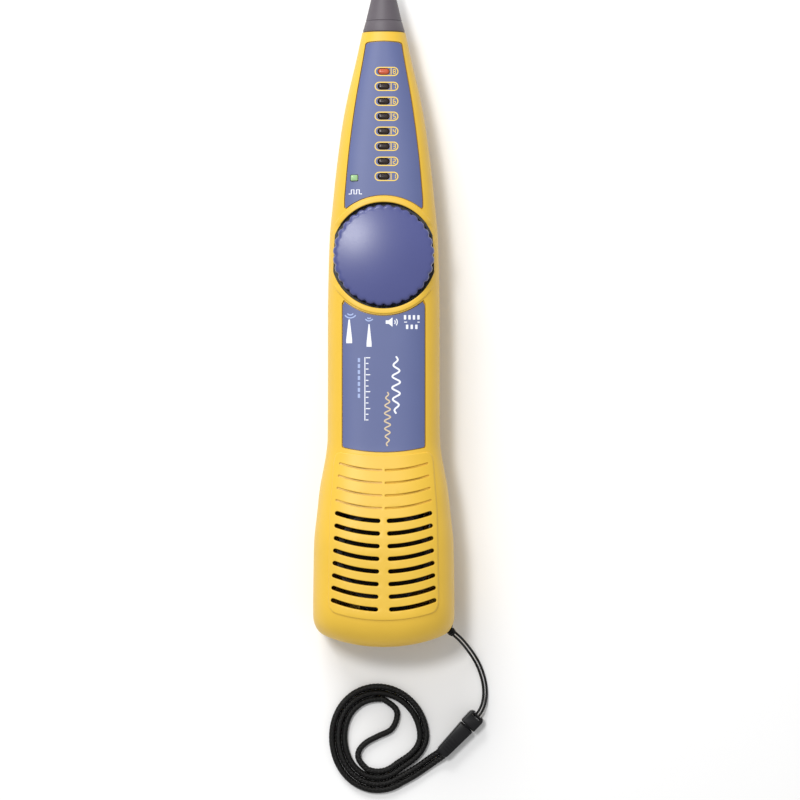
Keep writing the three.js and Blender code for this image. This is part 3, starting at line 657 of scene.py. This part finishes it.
FLOOR = surface("floor", (0.93, 0.93, 0.93), 0.9, relief=0.0, mottle=0.002)
FLOOR_HALF, FLOOR_Z = 3, -0.0003
floor_corners = [(x * FLOOR_HALF, y * FLOOR_HALF, FLOOR_Z) for x, y in ((-1, -1), (1, -1), (1, 1), (-1, 1))]
floor = mesh_of("floor", floor_corners, [(0, 1, 2, 3)])
floor.data.materials.append(FLOOR)

# ---------- cords


def smooth_path(points, spacing):
    """Points spaced evenly along a smooth curve through the given ones, and its length."""
    points = np.array(points, float)
    padded = np.concatenate([[2 * points[0] - points[1]], points, [2 * points[-1] - points[-2]]])
    made = []
    for a, b, c, d in zip(padded, padded[1:], padded[2:], padded[3:]):
        t = np.linspace(0, 1, 24, endpoint=False)[:, None]
        made.append(
            0.5 * (2 * b + (c - a) * t + (2 * a - 5 * b + 4 * c - d) * t**2 + (3 * b - a - 3 * c + d) * t**3)
        )
    return resampled(np.concatenate(made + [points[-1:]]), spacing)


def braid(turn, run, pairs=4, pitch=5.0):
    """Relief, 0 to 1, of a round braid whose carriers pass over and under each other."""
    one = turn * pairs / (2 * math.pi) + run * pairs / pitch
    other = turn * pairs / (2 * math.pi) - run * pairs / pitch
    over = (np.floor(one) + np.floor(other)) % 2 == 0
    return np.where(over, np.abs(np.sin(math.pi * one)), np.abs(np.sin(math.pi * other))) ** 0.6


def twist(turn, run, plies=3, pitch=2.6):
    """Relief, 0 to 1, of a cord twisted from a few plies."""
    return np.abs(np.cos(plies / 2 * (turn - 2 * math.pi * run / pitch))) ** 0.7


def rope(name, points, diameter, weave, depth, count, spacing):
    """A tube along the points with its weave raised on it, its centreline and its length."""
    line, length = smooth_path(points, spacing)
    along = unit(np.gradient(line, axis=0))
    up = np.empty_like(along)
    up[0] = np.cross(along[0], [0.3, 0.2, 0.93])
    for i in range(len(line)):
        guide = up[max(0, i - 1)]
        up[i] = guide - along[i] * (guide @ along[i])
        up[i] /= np.linalg.norm(up[i])
    side = np.cross(along, up)
    turn = np.linspace(0, 2 * math.pi, count, endpoint=False)
    run = np.linspace(0, length, len(line))
    radius = diameter / 2 * (1 - depth + depth * weave(turn[None, :], run[:, None]))
    rings = line[:, None] + radius[..., None] * (
        np.cos(turn)[None, :, None] * up[:, None] + np.sin(turn)[None, :, None] * side[:, None]
    )
    return loft(name, list(rings)), line, length


def free_cord(made, name, body, replaced):
    obj, line, length = made
    keep(obj, name, body, "cord_black", replaced, smooth_angle=60)


CORD_D = 2.1
CORD_Z = 1.1  # of the cord's middle where it lies on the floor
STRING_D = 0.85
STRING_APART = 0.58  # of each strand from the line between the two
CLASP_START = np.array([32.4, -139.5])
CLASP_END = np.array([19.5, -153.1])
CLASP_LENGTH = np.linalg.norm(CLASP_END - CLASP_START)
CLASP_ALONG = (CLASP_END - CLASP_START) / CLASP_LENGTH
CLASP_SIDE = np.array([-CLASP_ALONG[1], CLASP_ALONG[0]])


def clasp_point(x, y, z):
    """A point given along, across and above the clasp."""
    return [*(CLASP_START + CLASP_ALONG * x + CLASP_SIDE * y), z]


STRING_ROUTE = np.array([
    [23.3, -110.7, 12], [24.6, -111.9, 11.4], [26.3, -113.6, 9.4], [28.6, -116.5, 5.4],
    [31, -120.1, 1.9], [32.9, -123.8, 0.6], [34.3, -128.3, 0.45], [34.7, -132.7, 0.6],
    [34.1, -136.2, 1.6], [33, -138.6, 2.3], [31.95, -139.95, 2.3],
])


def strand_points(side):
    along = unit(np.gradient(STRING_ROUTE[:, :2], axis=0))
    across = np.column_stack([-along[:, 1], along[:, 0], np.zeros(len(along))])
    return STRING_ROUTE + across * side * STRING_APART


COIL = np.array([-1.8, -147.8])
COIL_HALF_WIDTH, COIL_HALF_LENGTH, STRAND_PITCH, COIL_WOBBLE = 17.5, 19.1, 2.16, 0.18


def coil_point(degrees, rank):
    """A point of the coil's strand of that rank, from the outside in, at an angle round it."""
    a = math.radians(degrees)
    edge = 1 / math.hypot(math.cos(a) / COIL_HALF_WIDTH, math.sin(a) / COIL_HALF_LENGTH)
    reach = edge - CORD_Z - STRAND_PITCH * rank + COIL_WOBBLE * math.sin(3 * a + 1) - COIL_WOBBLE
    return [COIL[0] + reach * math.cos(a), COIL[1] + reach * math.sin(a), CORD_Z]


def wrist_route():
    """The wrist cord's way round the coil: out round it, in, across as a bight and back to the clasp."""
    start = CLASP_LENGTH - 0.6
    outer = [clasp_point(start, 1, 2.3), clasp_point(start + 1.1, 1.02, 2.1)]
    outer += [[17.2, -156.15, 1.4], [13.5, -158.75, CORD_Z], [10.1, -161.0, CORD_Z]]
    inner = [clasp_point(start, -1, 2.3), clasp_point(start + 1.1, -1.08, 2.1)]
    inner += [[15.9, -154.4, 1.4], [12.3, -157.0, CORD_Z], [8.9, -159.2, CORD_Z]]
    out = [coil_point(a, 2 * ease(-a, 355, 420)) for a in range(-62, -646, -8)]
    bight = [(3.9, -137.6), (4.4, -141), (2.4, -144.9), (-2.2, -147.2)]
    bight += [(-6.2, -149.4), (-8.6, -152.2), (-8.6, -155.2)]
    bight = [[x, y, CORD_Z] for x, y in bight]
    back = [coil_point(a, 1 + 2 * ease(-a, -5, 60)) for a in range(-112, 298, 8)]
    return outer + out + bight + back + inner[::-1]


def string_rope(name, points):
    return rope(name, points, STRING_D, twist, depth=0.16, count=14, spacing=0.12)


def build_hitch():
    turns = np.linspace(0, 2 * math.pi * 2.6, 60)
    reach, low, climb = 1.72, 10.95, 2.1
    wrap = np.column_stack([
        PIN[0] + reach * np.cos(turns + 0.4),
        PIN[1] + reach * np.sin(turns + 0.4),
        low + climb * turns / turns[-1],
    ])
    return keep(string_rope("hitch", wrap)[0], "string_hitch_turns", "probe", "cord_black", ["string_hitch"])


def build_knot():
    """The lump that both strands are tied into where they leave the notch."""
    count, length = 90, 2.3
    turns = np.linspace(0, 2 * math.pi * 3.2, count)
    swell = 0.62 + 0.42 * np.sin(math.pi * np.linspace(0, 1, count)) ** 0.6
    start = np.array([22.2, -109.7, 12.7])
    along = np.array([0.62, -0.68, -0.38])
    across = np.cross(along, [0, 0, 1])
    up = np.cross(along, across)
    across /= np.linalg.norm(across)
    up /= np.linalg.norm(up)
    bulge = np.cos(turns)[:, None] * across + np.sin(turns)[:, None] * up
    line = start + along * np.linspace(0, length, count)[:, None] + swell[:, None] * bulge
    return keep(string_rope("knot", line)[0], "string_knot", "probe", "cord_black")


def lanyard():
    hitch = build_hitch()
    knot = build_knot()
    fork = build_yoke()
    for side, letter in ((-1, "a"), (1, "b")):
        free_cord(
            string_rope("strand", strand_points(side)), "string_" + letter, "probe",
            ["string_strand_" + letter],
        )
    sleeve = build_sleeve()
    wrist = rope("wrist", wrist_route(), CORD_D, braid, depth=0.24, count=40, spacing=0.13)
    free_cord(
        wrist, "wrist_cord", "wrist_strap",
        ["wrist_cord_lead", "wrist_cord_coil", "wrist_cord_bight"],
    )


# ---------- clasp


def pebble(outline, z0, z1, radius, steps=5):
    """A slab with all its edges rounded."""
    turn = np.linspace(0, math.pi / 2, steps)
    low = [(-radius * (1 - math.sin(a)), z0 + radius * (1 - math.cos(a))) for a in turn]
    high = [(-radius * (1 - math.cos(a)), z1 - radius * (1 - math.sin(a))) for a in turn]
    return loft("pebble", levelled(outline, low + high, flat))


CLASP_HEIGHT = 4.6
BAR_AT, BAR_R, BAR_HALF = (0.9, 2.3), 0.45, 1.9  # its (along, height), radius and half length
GRIPS, GRIP_START, GRIP_STEP, GRIP_R, GRIP_Z = 5, 12.2, 1.1, 0.28, 4.72


def on_clasp(obj):
    """Moves a piece made along the x axis to the clasp's place on the floor."""
    turn = Matrix.Rotation(math.atan2(CLASP_ALONG[1], CLASP_ALONG[0]), 4, "Z")
    obj.data.transform(Matrix.Translation((CLASP_START[0], CLASP_START[1], 0)) @ turn)
    return obj


def build_yoke():
    """The clasp's fork, with the string's bar and a split tongue."""
    length, half = 5.5, 2.95
    outline = rounded([(0, -half), (length, -half), (length, half), (0, half)], [1.5, 0.4, 0.4, 1.5])
    head = pebble(outline, 0, CLASP_HEIGHT, 0.5)
    cut(head, block((-1, 1.6), (-1.6, 1.6), (-1, 6)))
    join(head, pebble(rectangle((7.25, 0), 5.5, 2.4, 0.5), 1.3, 3.3, 0.3))
    cut(head, block((7.2, 8.6), (-0.35, 0.35), (0, 6)))
    join(head, rod(BAR_AT, BAR_R, -BAR_HALF, BAR_HALF, 20, "Y"))
    return keep(on_clasp(head), "clasp_fork", "probe", "clasp_black", ["clasp_yoke"])


def build_sleeve():
    """The clasp's sleeve, with a mouth for the tongue and grooves to grip."""
    start, end, half, end_half = 5.8, CLASP_LENGTH, 2.75, 2.2
    corner_points = [(start, -half), (end, -end_half), (end, end_half), (start, half)]
    body = pebble(rounded(corner_points, [0.5, 1.2, 1.2, 0.5]), 0, CLASP_HEIGHT, 0.6)
    cut(body, block((0, 10.4), (-1.5, 1.5), (1, 3.6)))
    for i in range(GRIPS):
        groove = rod((0, 0), GRIP_R, -4, 4, 16, "Y")
        groove.data.transform(Matrix.Translation((GRIP_START + GRIP_STEP * i, 0, GRIP_Z)))
        cut(body, groove)
    return keep(on_clasp(body), "clasp_cover", "wrist_strap", "clasp_black", ["clasp_sleeve"])


# ---------- case

SCREWS = [  # a screw's place and the height of its seat
    ((side * x, y), seat)
    for x, y, seat in ((12.2, 38, 4.2), (13.5, -34, 4.2), (19.2, -102, 6.5))
    for side in (-1, 1)
]
RIM_RISE, RIM_SINK = 0.5, 0.3
RIM_FADE = (8.5, 12.0)  # distances from the dial's middle between which the rim sinks away
RIM_EDGE, WELL_EDGE = 0.45, 0.4  # radii of the rim's outer and inner upper edges


def dial_rim():
    """The raised ring round the dial: it follows the case and sinks into its steep sides."""
    wall = RIM_R - 0.02
    outer = [(wall - inward, fall) for inward, fall in edge_levels(RIM_EDGE)]
    across = [(reach, 0) for reach in np.linspace(RIM_R - 0.8, WELL_R + 0.7, 4)]
    inner = [(WELL_R + inward, fall) for inward, fall in edge_levels(WELL_EDGE, 6)[::-1][:-1]]
    section = [(wall, -1), *outer, *across, *inner, (WELL_R - 0.03, -0.43), (WELL_R - 0.2, -1)]
    rings = []
    for reach, fall in section:
        ring = arc((0, DIAL_Y), reach, 0, 360, 193)[:-1]
        shown = ease(np.abs(ring[:, 1] - DIAL_Y), *RIM_FADE)
        rise = RIM_RISE * shown - RIM_SINK * (1 - shown)
        rings.append(np.column_stack([ring, face_height(ring) + rise + fall]))
    middle = (DIAL_Y - RIM_FADE[0], DIAL_Y + RIM_FADE[0])
    return cut(hoop("rim", rings), block((-30, 30), middle, (0, 60)))


def shed_crumbs(obj, smallest=8):
    """Removes the loose crumbs of a few vertices that cuts can leave behind."""
    mesh = bmesh.new()
    mesh.from_mesh(obj.data)
    left = set(mesh.verts)
    crumbs = []
    while left:
        shell, edge = set(), {left.pop()}
        while edge:
            shell |= edge
            edge = {e.other_vert(v) for v in edge for e in v.link_edges} - shell
        left -= shell
        if len(shell) < smallest:
            crumbs += shell
    crumbs.sort(key=lambda v: v.index)
    bmesh.ops.delete(mesh, geom=crumbs, context="VERTS")
    mesh.to_mesh(obj.data)
    mesh.free()


def half_case(z0, z1):
    """The part of the case's shell between two heights."""
    shell = case_form(0)
    cut(shell, case_form(WALL, CASE_END - END_WALL))
    return cross(shell, block((-60, 60), (-140, 140), (z0, z1)))


def prism(outline, z0, z1):
    return loft("prism", levelled(outline, [(0, z0), (0, z1)], flat))


CORNER_POST, CORNER_POST_R = (20.2, -107.4), 5.2  # the thick corner that the notch is cut into
TIP_BORE, TIP_BORE_R = (80, 99), 4.5
PIN_BORE, PIN_BORE_R = (6.2, 19.8), 1.25


def shared_cuts():
    """The cuts in both halves: the tip's spigot, the socket, the notch and its pin."""
    spigot = rod((0, SPLIT_Z), TIP_BORE_R, *TIP_BORE, 48, "Y")
    return [spigot, jack_opening(), lanyard_notch(), rod(PIN, PIN_BORE_R, *PIN_BORE, 32)]


ABOVE = 60  # a height over everything


def front_case():
    low = SPLIT_Z + HALF_GAP
    body = half_case(low, ABOVE)
    dial_at = (0, DIAL_Y)
    cup = cross(rod(dial_at, RIM_R, WELL_FLOOR - 2, 40, 192), case_form(0))
    pad = cross(prism(grille_pad_outline(), 24, ABOVE), case_form(-PAD_RISE))
    cut(pad, case_form(1.5))
    bosses = [rod(at, 2.8, low, 40, 32) for at, _ in SCREWS]
    corner = cross(rod(CORNER_POST, CORNER_POST_R, low, 24, 32), case_form(0))
    join(body, [cup, dial_rim(), pad, corner, *[cross(boss, case_form(0.3)) for boss in bosses]])
    cut(body, rod(dial_at, WELL_R, WELL_FLOOR, ABOVE, 192))
    cut(body, rod(dial_at, 5, 10, ABOVE, 96))
    cut(body, edge_cutter(grille_pad_outline(), 0.4, PAD_RISE))
    for outline in (upper_label_outline(), lower_label_outline()):
        cut(body, cut(prism(outline, 15, ABOVE), case_form(RECESS_FLOOR)))
    for outline in window_outlines():
        cut(body, prism(outline, 18, ABOVE))
    for outline in row_outlines(*SLOTS):
        cut(body, flared(outline, 0.2, -6))
    for outline in row_outlines(*GROOVES):
        cut(body, flared(outline, 0.16, -0.6))
    cut(body, shared_cuts())
    cut(body, [rod(at, 1.4, 5, 21, 24) for at, _ in SCREWS])
    shed_crumbs(body)
    keep(body, "case_front", "probe", "case_yellow", ["front_case"])
    paint_well_shade(body)


# Painted shade: the well's floor and inner wall get black plastic, darker than the case, to stand for the
# shade in the narrow gap round the dial.
def paint_well_shade(obj):
    obj.data.materials.append(FINISH["plastic_black"])
    for face in obj.data.polygons:
        x, y, z = face.center / MM
        if z > WELL_FLOOR - 0.001 and math.hypot(x, y - DIAL_Y) < WELL_R + 0.02:
            face.material_index = 1


TAB_STARTS, TAB_LENGTH, TAB_HALF, TAB_LOW, TAB_HIGH = (-100, -80, -60), 6, 15.5, 1.2, 2.2
DOOR_HALF, DOOR_START, DOOR_TOP, DOOR_LIP, DOOR_LIP_TOP = 14.3, -44, 2.2, -110, 5
DOOR_GAP = 0.3
DOOR_TRAVEL = 12
BAY_SIDES = (13.6, 14.6, 16.8)  # inner face, bay wall and outer face of the battery bay's rails


def rear_case():
    """The rear half: the door's opening, its tabs' bays, the battery's rails and the bosses."""
    body = half_case(-20, SPLIT_Z - HALF_GAP)
    bosses = [cross(rod(at, 4, 0.3, 12.8, 32), case_form(0.3)) for at, _ in SCREWS]
    join(body, bosses + [cross(rod(CORNER_POST, CORNER_POST_R, 4, 12.8, 32), case_form(0.1))])
    gap = DOOR_GAP
    opening = (-DOOR_HALF - gap, DOOR_HALF + gap)
    cut(body, block(opening, (-130, DOOR_START + gap), (-5, DOOR_TOP + gap)))
    cut(body, block(opening, (-130, DOOR_LIP + gap), (-5, DOOR_LIP_TOP + gap)))
    bay = (-TAB_HALF - gap, TAB_HALF + gap)
    for y in TAB_STARTS:
        end = y - DOOR_TRAVEL - gap
        cut(body, block(bay, (end, y + TAB_LENGTH + gap), (TAB_LOW - gap, TAB_HIGH + gap)))
        cut(body, block(bay, (end, end + TAB_LENGTH + 2 * gap), (-2, TAB_HIGH)))
    inner, wall, outer = BAY_SIDES
    for side in (-1, 1):
        rail = block(sorted((side * inner, side * outer)), (-109, -45.5), (2.5, 3.9))
        join(body, join(rail, block(sorted((side * inner, side * wall)), (-94, -48), (3.8, 11))))
    cut(body, shared_cuts())
    for at, seat in SCREWS:
        bore = [(0, -6), (3.4, -6), (3.4, -0.1), (3, 0.4), (3, seat), (1.5, seat), (1.5, 20), (0, 20)]
        cut(body, lathe("bore", bore, at, 48))
    keep(body, "case_rear", "probe", "case_yellow", ["rear_case"])


BARS, BAR_Y, BAR_PITCH, BAR_REACH, BAR_WIDTH = 5, -105.4, 2.4, 6.4, 0.6
ARROW_TIP, ARROW_WING, ARROW_NOTCH, ARROW_TAIL = (0, -93.6), (3.4, -90), (1.2, -90.4), (1.2, -86)


def battery_door():
    door = half_case(-20, 5)
    sides = (-DOOR_HALF, DOOR_HALF)
    space = block(sides, (-130, DOOR_START), (-5, DOOR_TOP))
    cross(door, join(space, block(sides, (-130, DOOR_LIP), (-5, DOOR_LIP_TOP))))
    for y in TAB_STARTS:
        join(door, block((-TAB_HALF, TAB_HALF), (y, y + TAB_LENGTH), (TAB_LOW, TAB_HIGH)))
    for i in range(BARS):
        y = BAR_Y + BAR_PITCH * i
        bar = stadium([(-BAR_REACH, y), (0, y - 0.2), (BAR_REACH, y)], BAR_WIDTH)
        cut(door, prism(bar, -1, 0.6))
    right = [ARROW_WING, ARROW_NOTCH, ARROW_TAIL]
    left = [(-x, y) for x, y in right]
    arrow = rounded([left[0], ARROW_TIP, *right, *left[:0:-1]], 0.15)
    cut(door, prism(arrow, -1, 0.3))
    keep(door, "battery_cover", "door", "case_yellow", ["battery_door"])


SCREW_HEAD = [(0, -2.05), (1.3, -2), (2.1, -1.75), (2.55, -1.2), (2.6, -0.3), (1.15, -0.3)]


def screws():
    for i, (at, seat) in enumerate(SCREWS):
        head = [(radius, seat + z) for radius, z in SCREW_HEAD]
        made = lathe("screw", head + [(1.15, 19.4), (0.6, 20), (0, 20)], at, 40)
        for a, b in ((1.5, 0.3), (0.3, 1.5)):
            cut(made, block((at[0] - a, at[0] + a), (at[1] - b, at[1] + b), (seat - 3, seat - 1)))
        keep(made, "screw_%d" % (i + 1), "probe", "steel", ["case_screw_%d" % (i + 1)])


def probe_tip():
    """The nose, with a bore for the antenna."""
    cone = [(0, 115), (0.8, 114.9), (1.5, 114.55), (2.0, 113.9), (2.35, 113), (3.1, 110), (4.4, 104.3)]
    groove = [(6.0, 97.6), (6.1, 97.3), (5.98, 97.0), (6.25, 96.7)]
    collar = [(6.8, 94.7), (7.05, 94.0), (7.1, 93.45), (6.9, 93.15)]
    spigot = [(4.2, 93.15), (4.2, 90.1), (5, 90.1), (5, 87.8)]
    bore = [(2.7, 87.8), (2.7, 105), (0, 105)]
    tip = lathe("tip", cone + groove + collar + spigot + bore, (0, SPLIT_Z), 128, "Y")
    keep(tip, "tip", "probe", "tip_grey", ["probe_tip"])


def network_jack():
    """The socket's housing: rounded outside, with a flared mouth and a stepped keyway."""
    x, low, high = JACK_HIGH[0], JACK_LOW[2], JACK_HIGH[2]
    front, back = JACK_LOW[1], JACK_HIGH[1]
    shell = rounded([(-x, low), (x, low), (x, high), (-x, high)], 0.5)
    body = along_y(shell, [(-0.35, front), (-0.15, front + 0.1), (0, front + 0.35), (0, back)])
    right = [(5.9, 9), (5.9, 16.8), (3, 16.8), (3, 17.7), (2, 17.7), (2, 18.9)]
    left = [(-x, z) for x, z in right[::-1]]
    cavity = rounded([left[-1], *right, *left[:-1]], 0.15, 3)
    flare = [(0.32, front - 1), (0.3, front), (0.1, front + 0.3), (0, front + 0.6)]
    cut(body, along_y(cavity, flare + [(0, JACK_FLOOR)]))
    keep(body, "socket_housing", "probe", "plastic_black", ["rj45_jack"])


def foam_pads():
    pad = pebble(rectangle((0, -71), 20, 38, 1.5), 2.5, 3.0, 0.2)
    keep(pad, "battery_cushion", "door", "foam", ["battery_pad"])
    profile = [(14, 28.35), (14.2, 28.2), (15.2, 28.2), (15.4, 28.35)]
    profile += [(15.4, 28.65), (15.2, 28.8), (14.2, 28.8), (14, 28.65)]
    ring = lathe("ring", profile, (0, -84), 96)
    keep(ring, "speaker_seal", "probe", "foam", ["speaker_gasket"])


SCALLOPS, SCALLOP_DEPTH = 32, 0.55


def mode_dial():
    """The dial: a crowned face, a scalloped rim and a hollow back."""
    count = SCALLOPS * 14
    angle = np.linspace(0, 2 * math.pi, count, endpoint=False)
    dip = SCALLOP_DEPTH * (0.5 + 0.5 * np.cos(SCALLOPS * angle)) ** 2
    outer = [(15.9, 28.82, 0.3), (16.5, 28.6, 0.75), (16.85, 28.25, 1), (17.02, 27.7, 1), (DIAL_R, 26.9, 1)]
    outer += [(DIAL_R, 24.6, 1), (17, 24.15, 1), (16.75, 23.9, 1)]
    crown = [(r, 30.2 - 1.3 * (r / 15.4) ** 2, 0) for r in (0.6, 2, 4, 6, 8, 10, 12, 13.5, 14.6, 15.3)]
    under = [(15.3, 23.9, 0), (15.3, 26.7, 0), (15, 27, 0), (6.3, 27, 0), (6, 26.7, 0), (6, 23.9, 0)]
    under += [(4.7, 23.9, 0), (4.7, 21.8, 0), (4.4, 21.5, 0), (1.4, 21.5, 0), (1.4, 26, 0), (0.5, 26, 0)]
    rings = []
    for radius, z, share in crown + outer + under:
        reach = radius - dip * share
        rings.append(
            np.column_stack([reach * np.cos(angle), DIAL_Y + reach * np.sin(angle), np.full(count, z)])
        )
    dial = loft("dial", rings)
    keep(dial, "dial_knob", "dial", "dial_blue", ["mode_dial"], smooth_angle=40)


# ---------- labels, lights and their print


def label(outline, name, node):
    sheet = cross(prism(outline, 15, ABOVE), case_form(LABEL_SINK))
    cut(sheet, case_form(LABEL_BACK))
    for window in window_outlines():
        cut(sheet, prism(offset(window, 0.06), 18, ABOVE))
    keep(sheet, name, "probe", "label_blue", [node])


def on_label(points):
    return face_height(points, LABEL_SINK)


def print_patch(outline):
    """A flat area of print on a label."""
    return loft("print", levelled(outline, [(0, -PRINT_ROOT), (0, PRINT_RISE)], on_label))


def print_band(path, half_width, closed=False):
    """A line of print on a label, following a path."""
    path = np.array(path, float)
    along = np.roll(path, -1, 0) - np.roll(path, 1, 0) if closed else np.gradient(path, axis=0)
    side = right_of(unit(along)) * half_width
    left, right = path - side, path + side
    section = ((left, -PRINT_ROOT), (right, -PRINT_ROOT), (right, PRINT_RISE), (left, PRINT_RISE))
    edges = [np.column_stack([edge, on_label(edge) + rise]) for edge, rise in section]
    vertices = np.stack(edges, 1).reshape(-1, 3)
    faces = strip_faces(len(path), 4, wrap_rows=closed)
    if not closed:
        faces += [(0, 1, 2, 3), tuple(len(vertices) - 4 + i for i in range(4))]
    return mesh_of("band", vertices, faces)


SEGMENTS = {  # of a numeral: a on top, then clockwise to f, and g in the middle
    "a": [(-0.5, 1), (0.5, 1)], "b": [(0.5, 0), (0.5, 1)], "c": [(0.5, -1), (0.5, 0)],
    "d": [(-0.5, -1), (0.5, -1)], "e": [(-0.5, -1), (-0.5, 0)], "f": [(-0.5, 0), (-0.5, 1)],
    "g": [(-0.5, 0), (0.5, 0)],
}
DIGITS = ["bc", "abged", "abgcd", "fbgc", "afgcd", "afgecd", "abc", "agdfbec"]  # 1 to 8


def digit(number, centre, size):
    """A plain numeral made of straight strokes."""
    strokes = []
    for part in DIGITS[number - 1]:
        ends = np.array(SEGMENTS[part]) * size * 0.44
        middle = ends.mean(0)
        strokes.append(print_band(np.array(centre) + middle + (ends - middle) * 0.86, 0.11))
    return strokes


def arc_band(centre, radius, start, end, half_width=0.22):
    return print_band(arc(centre, radius, start, end, 14), half_width)


def pin_mark(x, y, length, half_width):
    """A tapered bar: narrow at its upper end, like a probe drawn small."""
    w, tip = half_width, 0.22 * half_width
    low, shoulder = y - length, y - length + 1.2
    left, right = [(x - tip, y), (x - w, shoulder)], [(x + w, shoulder), (x + tip, y)]
    return print_patch(rounded([(x - w, low), (x + w, low), *right, *left], 0.06, 3))


def wave(x, y0, y1, reach, cycles, half_width):
    """A wavy line running down the label."""
    t = np.linspace(0, 1, 24 * cycles)
    fade = np.sin(math.pi * t) ** 0.5
    across = x + reach * fade * np.sin(2 * math.pi * cycles * t)
    return print_band(np.column_stack([across, y0 + (y1 - y0) * t]), half_width)


def light_marks():
    """A numbered pill round each light of the row."""
    made = []
    for i, (x, y) in enumerate(LIGHT_CENTRES):
        pill = stadium([(x - 1.5, y), (x, y), (x + 3.4, y)], 1.4, 13)
        made.append(print_band(pill, 0.17, closed=True))
        made.append(print_band([(x + 2.5, y - 1.1), (x + 2.5, y + 1.1)], 0.13))
        made += digit(LIGHTS - i, (x + 3.6, y), 1.7)
    return made


def pulse_mark():
    path = [(-11.8, 37.7), (-10.9, 37.7), (-10.9, 39.1), (-10.0, 39.1), (-10.0, 37.7)]
    path += [(-9.1, 37.7), (-9.1, 39.1), (-8.2, 39.1), (-8.2, 37.7), (-7.3, 37.7)]
    return print_band(path, 0.17)


def speaker_mark():
    outline = [(0.7, -6.1), (1.7, -6.1), (3.0, -7.1), (3.0, -3.9), (1.7, -4.9), (0.7, -4.9)]
    waves = [arc_band((3.0, -5.5), radius, -42, 42, 0.17) for radius in (0.9, 1.6)]
    return [print_patch(rounded(outline, 0.08, 3)), *waves]


def socket_mark():
    """Two rows of contacts with a line between them."""
    upper = [print_patch(rectangle((x, -3.9), 0.8, 1.5, 0.15)) for x in (7.2, 8.7, 10.2, 11.7)]
    line = print_band([(6.9, -5.5), (12.1, -5.5)], 0.16)
    lower = [print_patch(rectangle((x, -7.1), 0.8, 1.5, 0.15)) for x in (7.9, 9.45, 11.0)]
    return [*upper, line, *lower]


def scale_mark():
    ticks = []
    for i in range(12):
        reach = 1.5 if i % 3 == 0 else 0.9
        y = -17.5 - 1.9 * i
        ticks.append(print_band([(-6.0, y), (-6.0 + reach, y)], 0.17))
    return ticks + [print_band([(-6.3, -17.3), (-6.3, -38.6)], 0.16)]


def labels():
    label(upper_label_outline(0.3), "label_upper", "upper_label")
    label(lower_label_outline(0.3), "label_lower", "lower_label")
    white = [pulse_mark(), pin_mark(-11.6, -4.6, 8.0, 1.0), pin_mark(-4.9, -6.2, 7.6, 0.85)]
    white += [*speaker_mark(), *socket_mark(), wave(4.2, -17.0, -36.3, 1.35, 5, 0.3), *scale_mark()]
    pale = [arc_band((-11.2, -1.9), radius, 215, 325) for radius in (1.2, 2.2)]
    pale += [arc_band((-4.9, -3.6), radius, 215, 325) for radius in (0.7, 1.5)]
    pale += [print_patch(rectangle((-8.3, -18.3 - 2.0 * i), 0.8, 1.4, 0.15)) for i in range(7)]
    tan = [wave(1.3, -29.0, -47.2, 1.0, 7, 0.24)]
    for name, parts in (("yellow", light_marks()), ("white", white), ("tan", tan), ("pale", pale)):
        keep(joined(parts), "print_" + name, "probe", "print_" + name)


def lens(node, outline, crown, finish):
    """A light's lens, from its CAD node's foot to just over its top."""
    low, high = corners(node)
    top = high[2] + 0.25
    levels = [(0, low[2]), (0, top - 0.4), (-0.06, top - 0.15), (-0.2, top), (-0.34, top + 0.06)]
    levels += [(growth, top + rise) for growth, rise in crown]
    made = loft("lens", levelled(outline, levels, flat))
    keep(made, node + "_lens", "probe", finish, [node])


def lights():
    for i, (x, y) in enumerate(LIGHT_CENTRES):
        outline = stadium([(x - 0.9, y), (x + 0.9, y)], 1.0, 13)
        finish = "light_dark" if i else "light_red"
        lens("signal_led_%d" % (i + 1), outline, [(-0.6, 0.12), (-0.85, 0.15)], finish)
    lens("sync_led", rectangle(SYNC_CENTRE, 2.4, 2.0, 0.4), [], "light_green")


lanyard()
front_case()
rear_case()
battery_door()
screws()
probe_tip()
mode_dial()
network_jack()
foam_pads()
labels()
lights()

# Painted shade: the speaker frame, steel in the record, is given black plastic so that the grille's slots
# look dark inside.
SHADE_PAINTED_PARTS = {"speaker_frame": "plastic_black"}
for part in frame["record"]["subparts"]:
    node = frame["nodes"][part["node"]]
    node.data.materials.clear()
    node.data.materials.append(FINISH[SHADE_PAINTED_PARTS.get(part["node"], part["material_slot"])])
